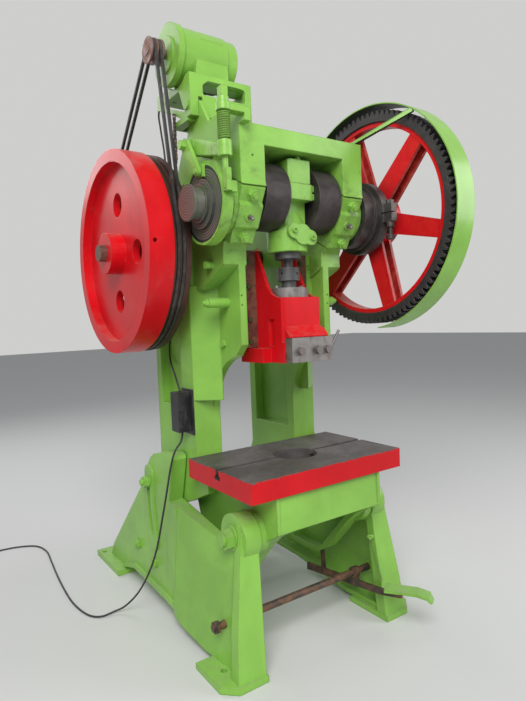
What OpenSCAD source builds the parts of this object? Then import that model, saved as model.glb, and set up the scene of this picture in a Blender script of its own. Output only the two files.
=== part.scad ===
// Inclinable open-front stamping press with a geared crankshaft drive.
// The front is at -Y, up is +Z, and the left side, at -X, carries the flywheel.
// Origin: on the floor, at the centre of the four foot bolts.

/* [Table] */
// Width of the bolster plate
table_w = 800; // [720:10:900]
// Depth of the bolster plate
table_d = 500; // [460:10:500]
// Thickness of the bolster plate
table_t = 83; // [60:1:110]
// Height of the table above the floor
table_z = 800; // [790:1:820]
// Diameter of the hole under the die
die_hole_d = 196; // [120:2:230]
// Width of the throat of the T-slot
tslot_w = 24; // [14:1:32]
// Width of the head of the T-slot
tslot_head_w = 42; // [34:1:56]
// Depth of the T-slot
tslot_depth = 42; // [30:1:55]

/* [Frame] */
// Inner half width between the side walls
wall_in = 212; // [208:1:216]
// Outer half width of the columns
wall_out = 345; // [330:1:345]
// Thickness of the rear and front flanges of a column
flange_t = 52; // [30:1:70]
// Front face of the columns, behind the die centre
column_y = 277; // [262:1:290]
// Rear face of the columns
column_back_y = 664; // [650:1:680]
// Radius of the throat
throat_r = 263; // [240:1:275]
// Height of the underside of the guide plates
throat_z = 1251; // [1240:1:1270]
// Front face of the guide plates
guide_y = 15; // [5:1:25]
// Outer face of the guide plates
guide_x = 246; // [240:1:256]
// Inner edge of the ledges that carry the gibs
gib_x = 182; // [178:1:190]
// Front face of the gibs
gib_y = 100; // [92:1:108]
// Top of the head
head_z = 2151; // [2140:1:2170]
// Front face of the head
head_y = -144; // [-150:1:-140]
// Half width of the head
head_w = 318; // [300:1:320]
// Half width of the opening in the head
head_gap = 205; // [200:1:208]
// Underside of the bridge that joins the head
bridge_z = 2075; // [2072:1:2090]

/* [Legs] */
// Height of the tilting pivot
pivot_z = 540; // [530:1:550]
// Tilting pivot in front of the die centre
pivot_y = -74; // [-80:1:-60]
// Diameter of the pivot bolts
pivot_d = 50; // [40:1:60]
// Tilt that the slots allow
tilt_max = 20; // [13:1:22]
// Radius of the slots around the pivot
slot_r = 718; // [700:1:730]
// Height angle of the slot bolts seen from the pivot
slot_angle = 6.3; // [5:0.1:8]
// Diameter of the slot bolts
slot_bolt_d = 30; // [24:1:36]
// Outer half width over the leg webs
leg_out = 425; // [415:1:430]
// Thickness of the leg webs
leg_web = 20; // [14:1:28]
// Width of the rims of the legs
leg_rim = 24; // [16:1:32]
// Half distance between the foot holes, across
foot_x = 452; // [448:1:456]
// Front foot holes in front of the die centre
foot_front_y = -80; // [-100:1:-50]
// Rear foot holes behind the die centre
foot_rear_y = 1340; // [1310:1:1350]
// Diameter of the foot holes
foot_hole_d = 26; // [18:1:28]

/* [Crank] */
// Height of the crankshaft
crank_z = 1858; // [1850:1:1862]
// Stroke of the ram
stroke = 200; // [160:2:200]
// Diameter of the main journals
journal_d = 120; // [100:2:120]
// Diameter of the crankpin
crankpin_d = 140; // [120:2:150]
// Radius of the crank webs
crank_web_r = 140; // [134:1:142]
// Radial clearance of the running fits
run_gap = 0.05; // [0.02:0.01:0.09]
// Wall of the bearing bushes
bush_t = 10; // [6:1:10]
// Slope of the bearing caps
cap_slope = 28; // [25:1:30]

/* [Gears] */
// Module of the gear teeth
gear_m = 10; // [10:1:10]
// Teeth on the bull gear
gear_teeth = 98; // [98:1:98]
// Teeth on the pinion
pinion_teeth = 14; // [14:1:14]
// Face width of the gears
gear_w = 90; // [70:1:95]
// Left face of the bull gear
gear_x = 488; // [484:1:492]
// Drop of the back shaft below the crankshaft
shaft_drop = 133; // [120:1:145]
// Diameter of the back shaft
shaft_d = 90; // [70:2:100]
// Arms of the bull gear
gear_arms = 6; // [5:1:8]

/* [Flywheel] */
// Outer diameter of the flywheel
flywheel_d = 908; // [890:2:912]
// Left face of the flywheel rim
flywheel_x = -600; // [-606:1:-594]
// Inner face of the flywheel
flywheel_in_x = -414; // [-418:1:-412]
// Depth of the dished side of the flywheel
flywheel_dish = 42; // [20:1:60]
// Diameter of the holes in the flywheel web
flywheel_hole_d = 106; // [80:2:120]
// Distance of those holes from the axis
flywheel_hole_r = 219; // [200:1:240]

/* [Ram] */
// Half the width of the ram
ram_w = 105; // [98:1:110]
// Front face of the ram, before the crank axis
ram_y = -90; // [-96:1:-80]
// Underside of the ram at the top of the stroke
ram_z = 1213; // [1205:1:1225]
// Top of the ram's side walls
ram_top_z = 1700; // [1660:5:1710]
// Bore for the tool shank
shank_d = 50; // [38:1:50]
// Radius of the ball under the screw
ball_r = 50; // [44:1:54]
// Radius of the adjusting screw
screw_r = 34; // [30:1:38]

/* [Motor] */
// Radius of the motor frame
motor_r = 118; // [110:1:122]
// Height of the motor shaft
motor_z = 2541; // [2536:1:2560]
// Motor shaft behind the die centre
motor_y = 275; // [270:1:285]
// Radius of the motor pulley
pulley_r = 47; // [44:1:56]

/* [Treadle] */
// Thickness of the treadle bar
treadle_t = 14; // [8:1:16]

/* [Cord] */
// Diameter of the supply cord
cord_d = 9; // [7:0.5:12]
// Diameter of the motor lead
lead_d = 9; // [7:0.5:12]

/* [Hidden] */

$fn = 72;
paint = [0.42, 0.68, 0.26];
red = [0.75, 0.05, 0.07];
dark = [0.16, 0.15, 0.15];
steel = [0.55, 0.55, 0.55];
rust = [0.42, 0.30, 0.24];

// The model is written about the die centre and then set over the foot holes.
seat_y = -(foot_front_y + foot_rear_y) / 2;
throw = stroke / 2;
gear_pitch_r = gear_m * gear_teeth / 2;
pinion_pitch_r = gear_m * pinion_teeth / 2;
centres = gear_pitch_r + pinion_pitch_r;
shaft_y = sqrt(centres * centres - shaft_drop * shaft_drop);
shaft_z = crank_z - shaft_drop;
seat_r = journal_d / 2 + run_gap + bush_t;
table_bottom = table_z - table_t;
slot_half = slot_bolt_d / 2 + 1.5;
gib_back = 190;
leg_in = wall_out + 7;
cap_reach = 118;
cap_h = 104;

module seat() {
    translate([0, seat_y, 0]) children();
}

module both_sides() {
    children();
    mirror([1, 0, 0]) children();
}

// Extrudes a (y, z) drawing along X.
module along_x(x0, x1) {
    translate([x0, 0, 0]) rotate([90, 0, 90]) linear_extrude(height = x1 - x0) children();
}

// Extrudes an (x, z) drawing along Y.
module along_y(y0, y1) {
    translate([0, y1, 0]) rotate([90, 0, 0]) linear_extrude(height = y1 - y0) children();
}

module rod_x(x0, x1, r, y, z) {
    translate([x0, y, z]) rotate([0, 90, 0]) cylinder(h = x1 - x0, r = r);
}

module rod_y(y0, y1, r, x, z) {
    translate([x, y0, z]) rotate([-90, 0, 0]) cylinder(h = y1 - y0, r = r);
}

module rod_z(z0, z1, r, x, y) {
    translate([x, y, z0]) cylinder(h = z1 - z0, r = r);
}

module box(x0, x1, y0, y1, z0, z1) {
    translate([x0, y0, z0]) cube([x1 - x0, y1 - y0, z1 - z0]);
}

// A hexagon across flats, lying across the X direction.
module hex_x(x0, x1, flats, y, z) {
    translate([x0, y, z]) rotate([0, 90, 0]) cylinder(h = x1 - x0, r = flats / sqrt(3), $fn = 6);
}

module hex_z(z0, z1, flats, x, y) {
    translate([x, y, z0]) cylinder(h = z1 - z0, r = flats / sqrt(3), $fn = 6);
}

// Places a piece on the sloping split face of the crank bearings:
// the local +Y points out of the face and the local +Z runs up along it.
module on_split() {
    translate([0, 0, crank_z]) rotate([cap_slope, 0, 0]) mirror([0, 1, 0]) children();
}

// Legs: one casting each, with an outer web, inward rims and a front post.
leg_outline = [[20, 24], [75, 22], [472, 73], [891, 86], [1060, 30], [1292, 30], [1245, 105],
    [757, 566], [668, 690], [622, 740], [575, 768], [400, 798], [376, 790], [368, 772],
    [424, 570], [10, 505], [-118, 505], [-165, 24]];
post_y_outline = [[-205, 0], [-152, 0], [-100, 600], [-74, 634], [-110, 628], [-140, 600]];
post_x_outline = [[334, 0], [462, 0], [447, 185], [384, 600], [376, 640], [307, 640], [307, 600]];
sole_line = [[75, 22], [472, 73], [891, 86], [1050, 36]];
tie_rod_pts = [[621, 209], [835, 237]];
treadle_y = -41;
treadle_z = 185;
tie_r = 16;
front_post_top = 381;

module slot_ring(x0, x1, half, a0, a1) {
    intersection() {
        difference() {
            rod_x(x0, x1, slot_r + half, pivot_y, pivot_z);
            rod_x(x0 - 1, x1 + 1, slot_r - half, pivot_y, pivot_z);
        }
        along_x(x0 - 2, x1 + 2) polygon([[pivot_y, pivot_z],
            [pivot_y + 900 * cos(a0), pivot_z + 900 * sin(a0)],
            [pivot_y + 900 * cos(a1), pivot_z + 900 * sin(a1)]]);
    }
    for (a = [a0, a1]) {
        // The round ends stand a hair over the arc's own ends.
        rod_x(x0, x1, half + 0.05, pivot_y + slot_r * cos(a), pivot_z + slot_r * sin(a));
    }
}

// The front part of the web leans in towards the pivot, below this plane.
module lean(depth, length) {
    translate([front_post_top, pivot_y, pivot_z]) rotate([0, -5.7, -5.1])
        translate([-depth, -300, -620]) cube([depth + length, 728, 1000]);
}

module leg() {
    slot_low = slot_angle - tilt_max;
    difference() {
        union() {
            difference() {
                along_x(leg_in, leg_out) polygon(leg_outline);
                along_x(leg_in - 1, leg_out - leg_web)
                    offset(delta = -leg_rim) polygon(leg_outline);
                lean(0, 200);
            }
            intersection() {
                along_x(330, 460) polygon(leg_outline);
                lean(24, 0);
            }
            for (i = [0 : len(sole_line) - 2]) {
                p = sole_line[i];
                q = sole_line[i + 1];
                along_x(leg_out - 5, leg_out + 16)
                    polygon([p, q, [q[0], q[1] + 26], [p[0], p[1] + 26]]);
            }
            intersection() {
                along_y(-220, 60) polygon(post_x_outline);
                along_x(300, 480) polygon(post_y_outline);
            }
            rod_x(307, front_post_top, 95, pivot_y, pivot_z);
            for (p = concat([[treadle_y, treadle_z]], tie_rod_pts)) {
                rod_x(388, 412, 30, p[0], p[1]);
            }
            along_x(331, 519) polygon([[-215, 0], [32, 0], [32, 26], [-215, 26]]);
            box(leg_in - 8, 481, 1030, 1393, 0, 30);
            slot_ring(wall_out + 1, leg_out + 10, 46, slot_low - 4, slot_angle + 3);
        }
        // The front outer corner of the foot is cut off.
        translate([519, -215, -1]) rotate([0, 0, 45]) cube([80, 80, 80], center = true);
        rod_x(300, 450, pivot_d / 2 + 0.1, pivot_y, pivot_z);
        rod_x(front_post_top - 0.2, 480, 52, pivot_y, pivot_z);
        rod_x(300, 480, tie_r + 0.3, treadle_y, treadle_z);
        for (p = tie_rod_pts) rod_x(300, 480, tie_r + 0.3, p[0], p[1]);
        rod_z(-1, 31, foot_hole_d / 2, foot_x, foot_front_y);
        rod_z(-1, 31, foot_hole_d / 2, foot_x, foot_rear_y);
        slot_ring(wall_out - 2, leg_out + 20, slot_half, slot_low, slot_angle);
    }
}

module left_leg() {
    color(paint) seat() mirror([1, 0, 0]) leg();
}

module right_leg() {
    color(paint) seat() {
        leg();
        // The spring of the treadle hooks into this eye.
        difference() {
            union() {
                box(296, 345, -158, -144, 380, 396);
                rod_y(-158, -144, 11, 296, 388);
            }
            rod_y(-160, -130, 5, 296, 388);
        }
    }
}

module rear_tie_rods() {
    color(paint) seat() for (p = tie_rod_pts) {
        rod_x(-452, 452, tie_r, p[0], p[1]);
        both_sides() {
            rod_x(leg_out + 0.2, leg_out + 5, 28, p[0], p[1]);
            hex_x(leg_out + 5, leg_out + 21, 44, p[0], p[1]);
        }
    }
}

module treadle_rod() {
    color(rust) seat() {
        rod_x(-474, 474, tie_r, treadle_y, treadle_z);
        both_sides() hex_x(448, 466, 46, treadle_y, treadle_z);
    }
}

module pivot_bolts() {
    color(paint) seat() both_sides() {
        rod_x(270, 440, pivot_d / 2, pivot_y, pivot_z);
        rod_x(front_post_top + 0.1, 396, 50, pivot_y, pivot_z);
        hex_x(396, 428, 74, pivot_y, pivot_z);
    }
}

// Frame casting: two hollow-backed side walls, a bed, a head and a bridge.
throat_y = column_y - throat_r;
throat_cz = throat_z - throat_r;
column_outline = [[column_y, 1850], [column_y, table_bottom], [181, table_bottom], [181, 646],
    [391, 555], [690, 575], [690, 660], [column_back_y, 720], [column_back_y, 1850],
    [600, 1940], [500, 2010], [column_y, 2010]];
bed_wall_outline = [[-232, table_bottom], [-237, 568], [-164, 526], [-98, 466], [-42, 402],
    [60, 289], [121, 254], [213, 250], [318, 257], [420, 560], [420, table_bottom]];
bed_rim_outline = [[-237, 568], [-164, 526], [-98, 466], [-42, 402], [60, 289], [121, 254],
    [213, 250], [318, 257], [420, 560], [396, 560], [300, 282], [213, 276], [128, 280],
    [77, 309], [-22, 420], [-80, 486], [-150, 548], [-205, 575]];
lug_z = 1630;

function on_face(t, n) = [-t * sin(cap_slope) - n * cos(cap_slope),
    crank_z + t * cos(cap_slope) - n * sin(cap_slope)];

head_outline = [[head_y, head_z], [head_y, 1938], on_face(cap_reach + 3, cap_h),
    on_face(cap_reach + 3, 0), on_face(-cap_reach - 3, 0), on_face(-cap_reach - 3, 62),
    [guide_y, 1690], [guide_y, lug_z], [30, lug_z - 12], [200, 1540], [430, 1540],
    [430, 2010], [330, 2168], [180, 2188], [100, head_z]];

module side_wall() {
    difference() {
        union() {
            along_x(wall_in, wall_out) polygon(column_outline);
            // Guide plate over the throat.
            along_x(wall_in, guide_x) difference() {
                polygon([[guide_y + 45, throat_z], [guide_y, throat_z + 45], [guide_y, 1700],
                    [400, 1700], [400, throat_cz], [throat_y, throat_cz]]);
                translate([throat_y, throat_cz]) circle(r = throat_r);
            }
            // The guide plate widens into the column.
            along_z_wedge();
            along_x(head_gap, head_w) polygon(head_outline);
            rod_x(wall_in, wall_out, 98, shaft_y, shaft_z);
            along_x(250, 278) polygon(bed_wall_outline);
            rod_x(262, 306.5, 88, pivot_y, pivot_z);
            rod_x(guide_x - 3, wall_out, 21, 112, 1477);
            rod_x(guide_x - 3, wall_out - 20, 17, 108, 1635);
            // Ledge that carries the gib.
            box(gib_x, wall_in + 1, gib_y, gib_back, ram_z + 64, 1690);
            rod_x(wall_out - 60, wall_out, 44, pivot_y + slot_r * cos(slot_angle),
                pivot_z + slot_r * sin(slot_angle));
        }
        // Hollow outer side above the switch, between the flanges.
        along_x(wall_out - 45, wall_out + 1)
            polygon([[column_y + 117, 1010], [column_back_y - flange_t, 1010],
                [column_back_y - flange_t, 1600], [column_y + 117, 1600]]);
        // Hollow inner side between the flanges.
        along_x(wall_in - 1, wall_in + 46)
            polygon([[column_y + flange_t, 850], [column_back_y - flange_t, 850],
                [column_back_y - flange_t, 1590], [column_y + flange_t, 1590]]);
        // Hollow inside of the head behind the bearing.
        along_x(head_gap - 1, head_gap + 60)
            polygon([[170, 1760], [380, 1760], [380, 1960], [170, 1960]]);
        rod_x(200, 330, seat_r, 0, crank_z);
        for (z = [1462, 1502]) rod_y(guide_y - 1, guide_y + 14, 3.5, 235, z);
        rod_x(200, 350, shaft_d / 2 + bush_t + 0.02, shaft_y, shaft_z);
        rod_x(240, 310, pivot_d / 2 + run_gap, pivot_y, pivot_z);
        rod_x(wall_out - 80, wall_out + 1, slot_bolt_d / 2 + 0.02,
            pivot_y + slot_r * cos(slot_angle), pivot_z + slot_r * sin(slot_angle));
        for (z = [1477, 1635]) rod_x(gib_x - 1, 350, 10.2, z == 1477 ? 112 : 108, z);
        for (t = [-85, 85]) on_split() translate([262, 1, t]) rotate([90, 0, 0])
            cylinder(h = 71, r = 12.05);
    }
}

module along_z_wedge() {
    translate([0, 0, throat_cz + 60]) linear_extrude(height = 1560 - throat_cz - 60)
        polygon([[guide_x - 3, column_y - 90], [guide_x - 3, column_y + 5],
            [wall_out, column_y + 5], [wall_out, column_y]]);
}

module frame_casting() {
    beam_half = 278;
    color(paint) seat() {
        difference() {
            union() {
                both_sides() side_wall();
                box(-head_gap - 1, head_gap + 1, head_y, 200, bridge_z, head_z);
                // Front beam and bed under the bolster plate.
                along_x(-beam_half, beam_half)
                    polygon([[-232, table_bottom], [-237, 568], [-205, 560], [-190, 600],
                        [-190, table_bottom]]);
                box(-beam_half, beam_half, -200, 300, table_bottom - 42, table_bottom);
                both_sides() box(278, wall_out, 60, 300, table_bottom - 30, table_bottom);
                box(-250, 250, 255, 290, 560, table_bottom);
                // Inward rim along the lower edge of the bed walls.
                both_sides() along_x(205, 252) polygon(bed_rim_outline);
                both_sides() box(264, 278.5, -238, -228, 568, table_bottom);
                // Lug for the long bolt of the brake.
                rod_z(2164, 2192, 27, -398, -165);
                box(-400, -300, -184, -146, 2166, 2190);
                box(-318, -290, -184, -60, 2140, 2190);
                // Lugs that carry the hinge rod of the motor platform.
                for (x = [-head_w, -100]) {
                    along_x(x, x + 18) polygon([[40, 2140], [160, 2330], [180, 2340],
                        [206, 2336], [290, 2190], [290, 2120]]);
                }
                // Upstand along the left edge of the head.
                along_x(-head_w, -head_w + 18) polygon([[head_y + 6, 2140], [head_y, 2192],
                    [43, 2224], [158, 2213], [300, 2191], [330, 2140]]);
                // Shelf under the motor platform.
                box(-318, 60, 150, 330, 2110, 2190);
            }
            rod_z(table_bottom - 50, table_bottom + 1, die_hole_d / 2 + 22, 0, 0);
            rod_x(-330, -60, 12.3, 190, 2311);
            rod_z(2150, 2200, 12.1, -398, -165);
            for (p = jack_pts) rod_z(2100, 2191, 12.02, p[0], p[1]);
            rod_y(head_y - 1, head_y + 20, 4, -262, 2030);
        }
    }
}

module bolster_plate() {
    hw = table_w / 2;
    hd = table_d / 2;
    color(red) seat() difference() {
        box(-hw, hw, -hd, hd, table_bottom + 0.02, table_z);
        rod_z(table_bottom - 1, table_z + 1, die_hole_d / 2, 0, 0);
        box(-hw - 1, hw + 1, -tslot_w / 2, tslot_w / 2, table_z - tslot_depth, table_z + 1);
        box(-hw - 1, hw + 1, -tslot_head_w / 2, tslot_head_w / 2, table_z - tslot_depth,
            table_z - tslot_depth + 18);
    }
}

// Bearing caps, drawn with n out of the split face and t along it.
module bearing_cap() {
    on_split() difference() {
        union() {
            along_x(head_gap + 2, head_w - 2)
                polygon([[0.5, -cap_reach], [cap_h - 6, -cap_reach], [cap_h, -cap_reach + 6],
                    [cap_h, -58], [cap_h + 13, -44], [cap_h + 13, 44], [cap_h, 58],
                    [cap_h, cap_reach - 6], [cap_h - 6, cap_reach], [0.5, cap_reach]]);
            rod_x(head_gap + 4, head_w + 18, 116, 0, 0);
            translate([262, cap_h + 10, 0]) rotate([-90, 0, 0]) cylinder(h = 9, r = 20);
        }
        box(head_gap, head_w + 40, -130, 0.5, -140, 140);
        rod_x(200, 350, seat_r, 0, 0);
        for (t = [-85, 85]) translate([262, 0, t]) rotate([-90, 0, 0]) cylinder(h = 140, r = 12.5);
        translate([262, 0, 0]) rotate([-90, 0, 0]) cylinder(h = 140, r = 5.02);
    }
}

module bearing_cap_left() {
    color(paint) seat() mirror([1, 0, 0]) bearing_cap();
}

module bearing_cap_right() {
    color(paint) seat() bearing_cap();
}

module cap_studs() {
    color(paint) seat() both_sides() for (t = [-85, 85]) on_split() {
        translate([262, -69, t]) rotate([-90, 0, 0]) cylinder(h = cap_h + 69 + 34, r = 12);
        translate([262, cap_h + 0.1, t]) rotate([-90, 0, 0]) cylinder(h = 4, r = 25);
        translate([262, cap_h + 4, t]) rotate([-90, 0, 0])
            cylinder(h = 20, r = 38 / sqrt(3), $fn = 6);
    }
}

module bearing_bushes() {
    color([0.72, 0.53, 0.26]) seat() both_sides() difference() {
        rod_x(head_gap + 1, head_w + 16, seat_r - 0.02, 0, crank_z);
        rod_x(head_gap, head_w + 17, journal_d / 2 + run_gap, 0, crank_z);
        // Grease hole, in line with the fitting.
        on_split() translate([262, 60, 0]) rotate([-90, 0, 0]) cylinder(h = 50, r = 4);
    }
}

// Guide strips with a groove for the tongue of the ram.
tongue_y = 126;
tongue_h = 44;
tongue_x = 168;
slide_gap = 0.3;
gib_bolt_zs = [1303, 1400, 1545, 1650];

module gib(x_out) {
    difference() {
        box(ram_w + slide_gap, x_out, gib_y, gib_back, ram_z + 64, 1690);
        box(ram_w - 1, tongue_x + slide_gap, tongue_y - slide_gap, tongue_y + tongue_h + slide_gap,
            1100, 1800);
        for (z = gib_bolt_zs) rod_y(gib_y - 1, gib_y + 18, 6.02, 146, z);
    }
}

module gib_left() {
    color(rust) seat() mirror([1, 0, 0]) gib(gib_x - 0.3);
}

module gib_right() {
    color(rust) seat() gib(gib_x - 0.3);
}

module gib_screws() {
    color(paint) seat() both_sides() {
        rod_x(gib_x - 0.2, wall_out + 24, 10, 112, 1477);
        hex_x(wall_out + 0.2, wall_out + 13, 30, 112, 1477);
        rod_x(gib_x - 0.2, wall_out + 6, 10, 108, 1635);
        rod_x(wall_out - 19.8, wall_out + 8, 15, 108, 1635);
        hex_x(guide_x + 0.2, guide_x + 14, 32, 156, 1301);
        for (z = gib_bolt_zs) {
            rod_y(gib_y - 1, gib_y + 17.8, 6, 146, z);
            translate([146, gib_y - 0.1, z]) rotate([90, 0, 0])
                cylinder(h = 10, r = 20 / sqrt(3), $fn = 6);
        }
    }
}

module slot_bolts() {
    by = pivot_y + slot_r * cos(slot_angle);
    bz = pivot_z + slot_r * sin(slot_angle);
    color(paint) seat() both_sides() {
        rod_x(wall_out - 78, leg_out + 52, slot_bolt_d / 2, by, bz);
        rod_x(leg_out + 10.4, leg_out + 16, 30, by, bz);
        hex_x(leg_out + 16, leg_out + 38, 50, by, bz);
    }
}

// Grease fittings in the caps, each with a thin tube to the crank web.
module grease_fittings() {
    color(steel) seat() both_sides() on_split() translate([262, 0, 0]) rotate([-90, 0, 0]) {
        translate([0, 0, 98]) cylinder(h = 48, r = 5);
        translate([0, 0, cap_h + 19.2]) cylinder(h = 9, r = 11, $fn = 6);
        translate([0, 0, 145]) sphere(r = 7, $fn = 24);
    }
}

// Brake: a strap with a lining around the drum, drawn tight by a spring.
drum_r = 138;
strap_r = 157;
strap_x0 = -409;
strap_x1 = -363;

module brake_drum() {
    color(dark) seat() difference() {
        union() {
            rod_x(strap_x0 + 3, -352, drum_r, 0, crank_z);
            rod_x(-420, strap_x0 + 4, 96, 0, crank_z);
            rod_x(-432, -419, 76, 0, crank_z);
        }
        rod_x(-450, -340, overhang_r + 0.02, 0, crank_z);
    }
}

module ring_x(x0, x1, r_out, r_in) {
    difference() {
        rod_x(x0, x1, r_out, 0, crank_z);
        rod_x(x0 - 1, x1 + 1, r_in, 0, crank_z);
    }
}

module strap_split() {
    box(-420, -340, 12, 34, crank_z + 90, crank_z + 180);
}

module brake_lining() {
    color([0.35, 0.3, 0.22]) seat() difference() {
        ring_x(strap_x0 + 1, strap_x1 - 1, strap_r - 10.1, drum_r + 0.4);
        strap_split();
    }
}

module brake_strap() {
    color(paint) seat() {
        difference() {
            union() {
                ring_x(strap_x0, strap_x1, strap_r, strap_r - 10);
                // Thick lug on the upper front of the strap.
                along_x(strap_x0 + 4, strap_x1 - 4) difference() {
                    polygon([[8, 2029], [-112, 2003], [-116, 1960], [8, 1990]]);
                    translate([0, crank_z]) circle(r = strap_r - 5);
                }
                // Lug for the flat eye of the long bolt.
                box(-386, strap_x1, -186, -148, 1872, 1912);
                // Lug for the pin of the link.
                box(strap_x0 - 12, strap_x0 + 1, -30, 8, 1958, 2006);
            }
            strap_split();
            rod_x(-400, -350, 8.1, -171, 1892);
            rod_x(-430, -405, 9.1, link_low[0], link_low[1]);
        }
    }
}

// Lever of the brake: a bossed arm between the spring and the hub on the frame.
lever_hub = [75, 2100];
link_low = [-12, 1977];

module brake_lever() {
    color(paint) seat() difference() {
        union() {
            rod_z(2001, 2058, 27, -398, -165);
            hull() {
                rod_z(2010, 2048, 23, -398, -146, $fn = 32);
                rod_x(-410, -376, 32, lever_hub[0], lever_hub[1], $fn = 32);
            }
            rod_x(-416, -head_w - 0.2, 34, lever_hub[0], lever_hub[1]);
        }
        rod_z(1990, 2070, 12.5, -398, -165);
    }
}

module brake_link() {
    color(paint) seat() {
        along_x(-440, -424) hull() {
            translate(lever_hub) circle(r = 27, $fn = 32);
            translate(link_low) circle(r = 17, $fn = 32);
        }
        rod_x(-424, -416.2, 20, lever_hub[0], lever_hub[1]);
        hex_x(-462, -440, 34, lever_hub[0], lever_hub[1]);
        rod_x(-424, -410, 9, link_low[0], link_low[1]);
        rod_x(-448, -440, 11, link_low[0], link_low[1]);
    }
}

// Square-headed bolt with a flat eye at its lower end.
module brake_bolt() {
    color([0.5, 0.62, 0.42]) seat() {
        rod_z(1950, 2250, 11, -398, -165);
        rod_z(2192.2, 2212, 22, -398, -165);
        box(-412, -384, -179, -151, 2212, 2250);
        box(-408, -386.3, -186, -158, 1876, 1958);
        rod_x(-410, strap_x1 + 6, 8, -171, 1892);
    }
}

module brake_spring() {
    turns = 12;
    r_mid = 22;
    wire = 3.2;
    z0 = 2058 + wire + 0.2;
    z1 = 2162 - wire - 0.2;
    color([0.45, 0.5, 0.4]) seat() translate([-398, -165, 0])
        helix(r_mid, wire, z0, z1, turns);
}

// Side faces of a swept tube, two triangles to each step and side.
function tube_faces(steps, sides) = concat([[for (k = [sides - 1 : -1 : 0]) k]],
    [for (i = [0 : steps - 1]) for (k = [0 : sides - 1]) for (half = [0, 1])
        let(a = i * sides + k, b = i * sides + (k + 1) % sides)
        half == 0 ? [a, b, b + sides] : [a, b + sides, a + sides]],
    [[for (k = [0 : sides - 1]) steps * sides + k]]);

// A round wire wound about Z, closed at both ends.
module helix(r_mid, wire, z0, z1, turns, per_turn = 14, sides = 6) {
    steps = turns * per_turn;
    pts = [for (i = [0 : steps]) for (k = [0 : sides - 1])
        let(a = 360 * turns * i / steps, b = 360 * k / sides, rr = r_mid + wire * cos(b))
        [rr * cos(a), rr * sin(a), z0 + (z1 - z0) * i / steps + wire * sin(b)]];
    polyhedron(points = pts, faces = tube_faces(steps, sides), convexity = 20);
}

// Motor platform: a casting hinged on the head and held level by jack screws.
jack_pts = [[-276, 222], [20, 300]];
platform_x0 = -358;
platform_x1 = -52;
platform_y = 159;
platform_top = 2440;
platform_side = [[platform_y, 2264], [platform_y, platform_top], [484, platform_top],
    [484, 2385], [300, 2300], [230, 2264]];
platform_side_hole = [[214, 2292], [259, 2391], [400, 2391], [389, 2364]];

module motor_platform() {
    color(paint) seat() difference() {
        union() {
            box(platform_x0, platform_x1, platform_y, platform_y + 22, 2264, platform_top);
            box(platform_x0, platform_x1, platform_y, 484, platform_top - 28, platform_top);
            for (x = [platform_x0, platform_x1 - 20]) along_x(x, x + 20) polygon(platform_side);
            both_lugs();
            box(platform_x0, 60, 190, 330, 2250, 2274);
        }
        // Window in the front plate.
        along_y(140, 190) offset(r = 12) offset(delta = -12)
            polygon([[-296, 2355], [-83, 2355], [-83, 2412], [-110, 2416], [-270, 2416],
                [-296, 2396]]);
        for (x = [platform_x0 - 5, platform_x1 - 25]) along_x(x, x + 30)
            polygon(platform_side_hole);
        for (x = [-head_w, -100]) box(x - 1, x + 19, 60, 320, 2200, 2345);
        rod_x(platform_x0 - 5, platform_x1 + 10, 12.3, 190, 2311);
        // Hollow for the belly of the motor.
        rod_x(platform_x0 - 1, platform_x1 + 1, motor_r + 12, motor_y, motor_z);
        for (p = jack_pts) rod_z(2240, 2280, 12.02, p[0], p[1]);
        for (p = motor_bolt_pts) rod_z(2400, 2450, 7, p[0], p[1]);
    }
}

module both_lugs() {
    for (x = [-350, -276, -146, -74]) rod_x(x, x + 22, 26, 190, 2311);
}

module hinge_rod() {
    color(paint) seat() {
        rod_x(-366, -40, 12, 190, 2311);
        rod_x(-366, -358.2, 18, 190, 2311);
    }
}

module jack_screws() {
    color(rust) seat() for (p = jack_pts) {
        rod_z(2120, 2288, 12, p[0], p[1]);
        hex_z(2190.2, 2210, 38, p[0], p[1]);
        hex_z(2228, 2249.8, 38, p[0], p[1]);
    }
}

// Motor, its end shields and its terminal box.
motor_x0 = -372;
motor_x1 = -160;
motor_bolt_pts = [[-300, 182], [-300, 424], [-184, 182], [-184, 424]];

module motor_body() {
    foot_z = platform_top;
    color(paint) seat() difference() {
        union() {
            rod_x(motor_x0, motor_x1, motor_r, motor_y, motor_z);
            along_y(164, 200) polygon([[-322, foot_z + 0.2], [-162, foot_z + 0.2],
                [-164, foot_z + 60], [-184, 2590], [-290, 2590], [-316, foot_z + 60]]);
            along_y(370, 444) polygon([[-322, foot_z + 0.2], [-162, foot_z + 0.2],
                [-162, foot_z + 50], [-316, foot_z + 50]]);
        }
        rod_x(motor_x0 - 1, motor_x1 + 1, motor_r - 9, motor_y, motor_z);
        for (p = motor_bolt_pts) rod_z(2430, 2480, 7, p[0], p[1]);
    }
}

module motor_end_shields() {
    color(paint) seat() {
        difference() {
            union() {
                rod_x(motor_x0 - 28, motor_x0 - 0.2, motor_r + 8, motor_y, motor_z);
                rod_x(motor_x0 - 36, motor_x0 - 26, 74, motor_y, motor_z);
            }
            rod_x(motor_x0 - 60, motor_x0 + 10, 19 + run_gap, motor_y, motor_z);
        }
        difference() {
            rod_x(motor_x1 + 0.2, motor_x1 + 48, motor_r - 6, motor_y, motor_z);
            rod_x(motor_x1 - 10, motor_x1 + 30, 19 + run_gap, motor_y, motor_z);
        }
    }
}

module terminal_box() {
    color(paint) seat() difference() {
        box(-290, -190, motor_y + motor_r - 24, 446, motor_z - 30, motor_z + 60);
        rod_x(-300, -180, motor_r + 0.1, motor_y, motor_z);
    }
}

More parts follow.
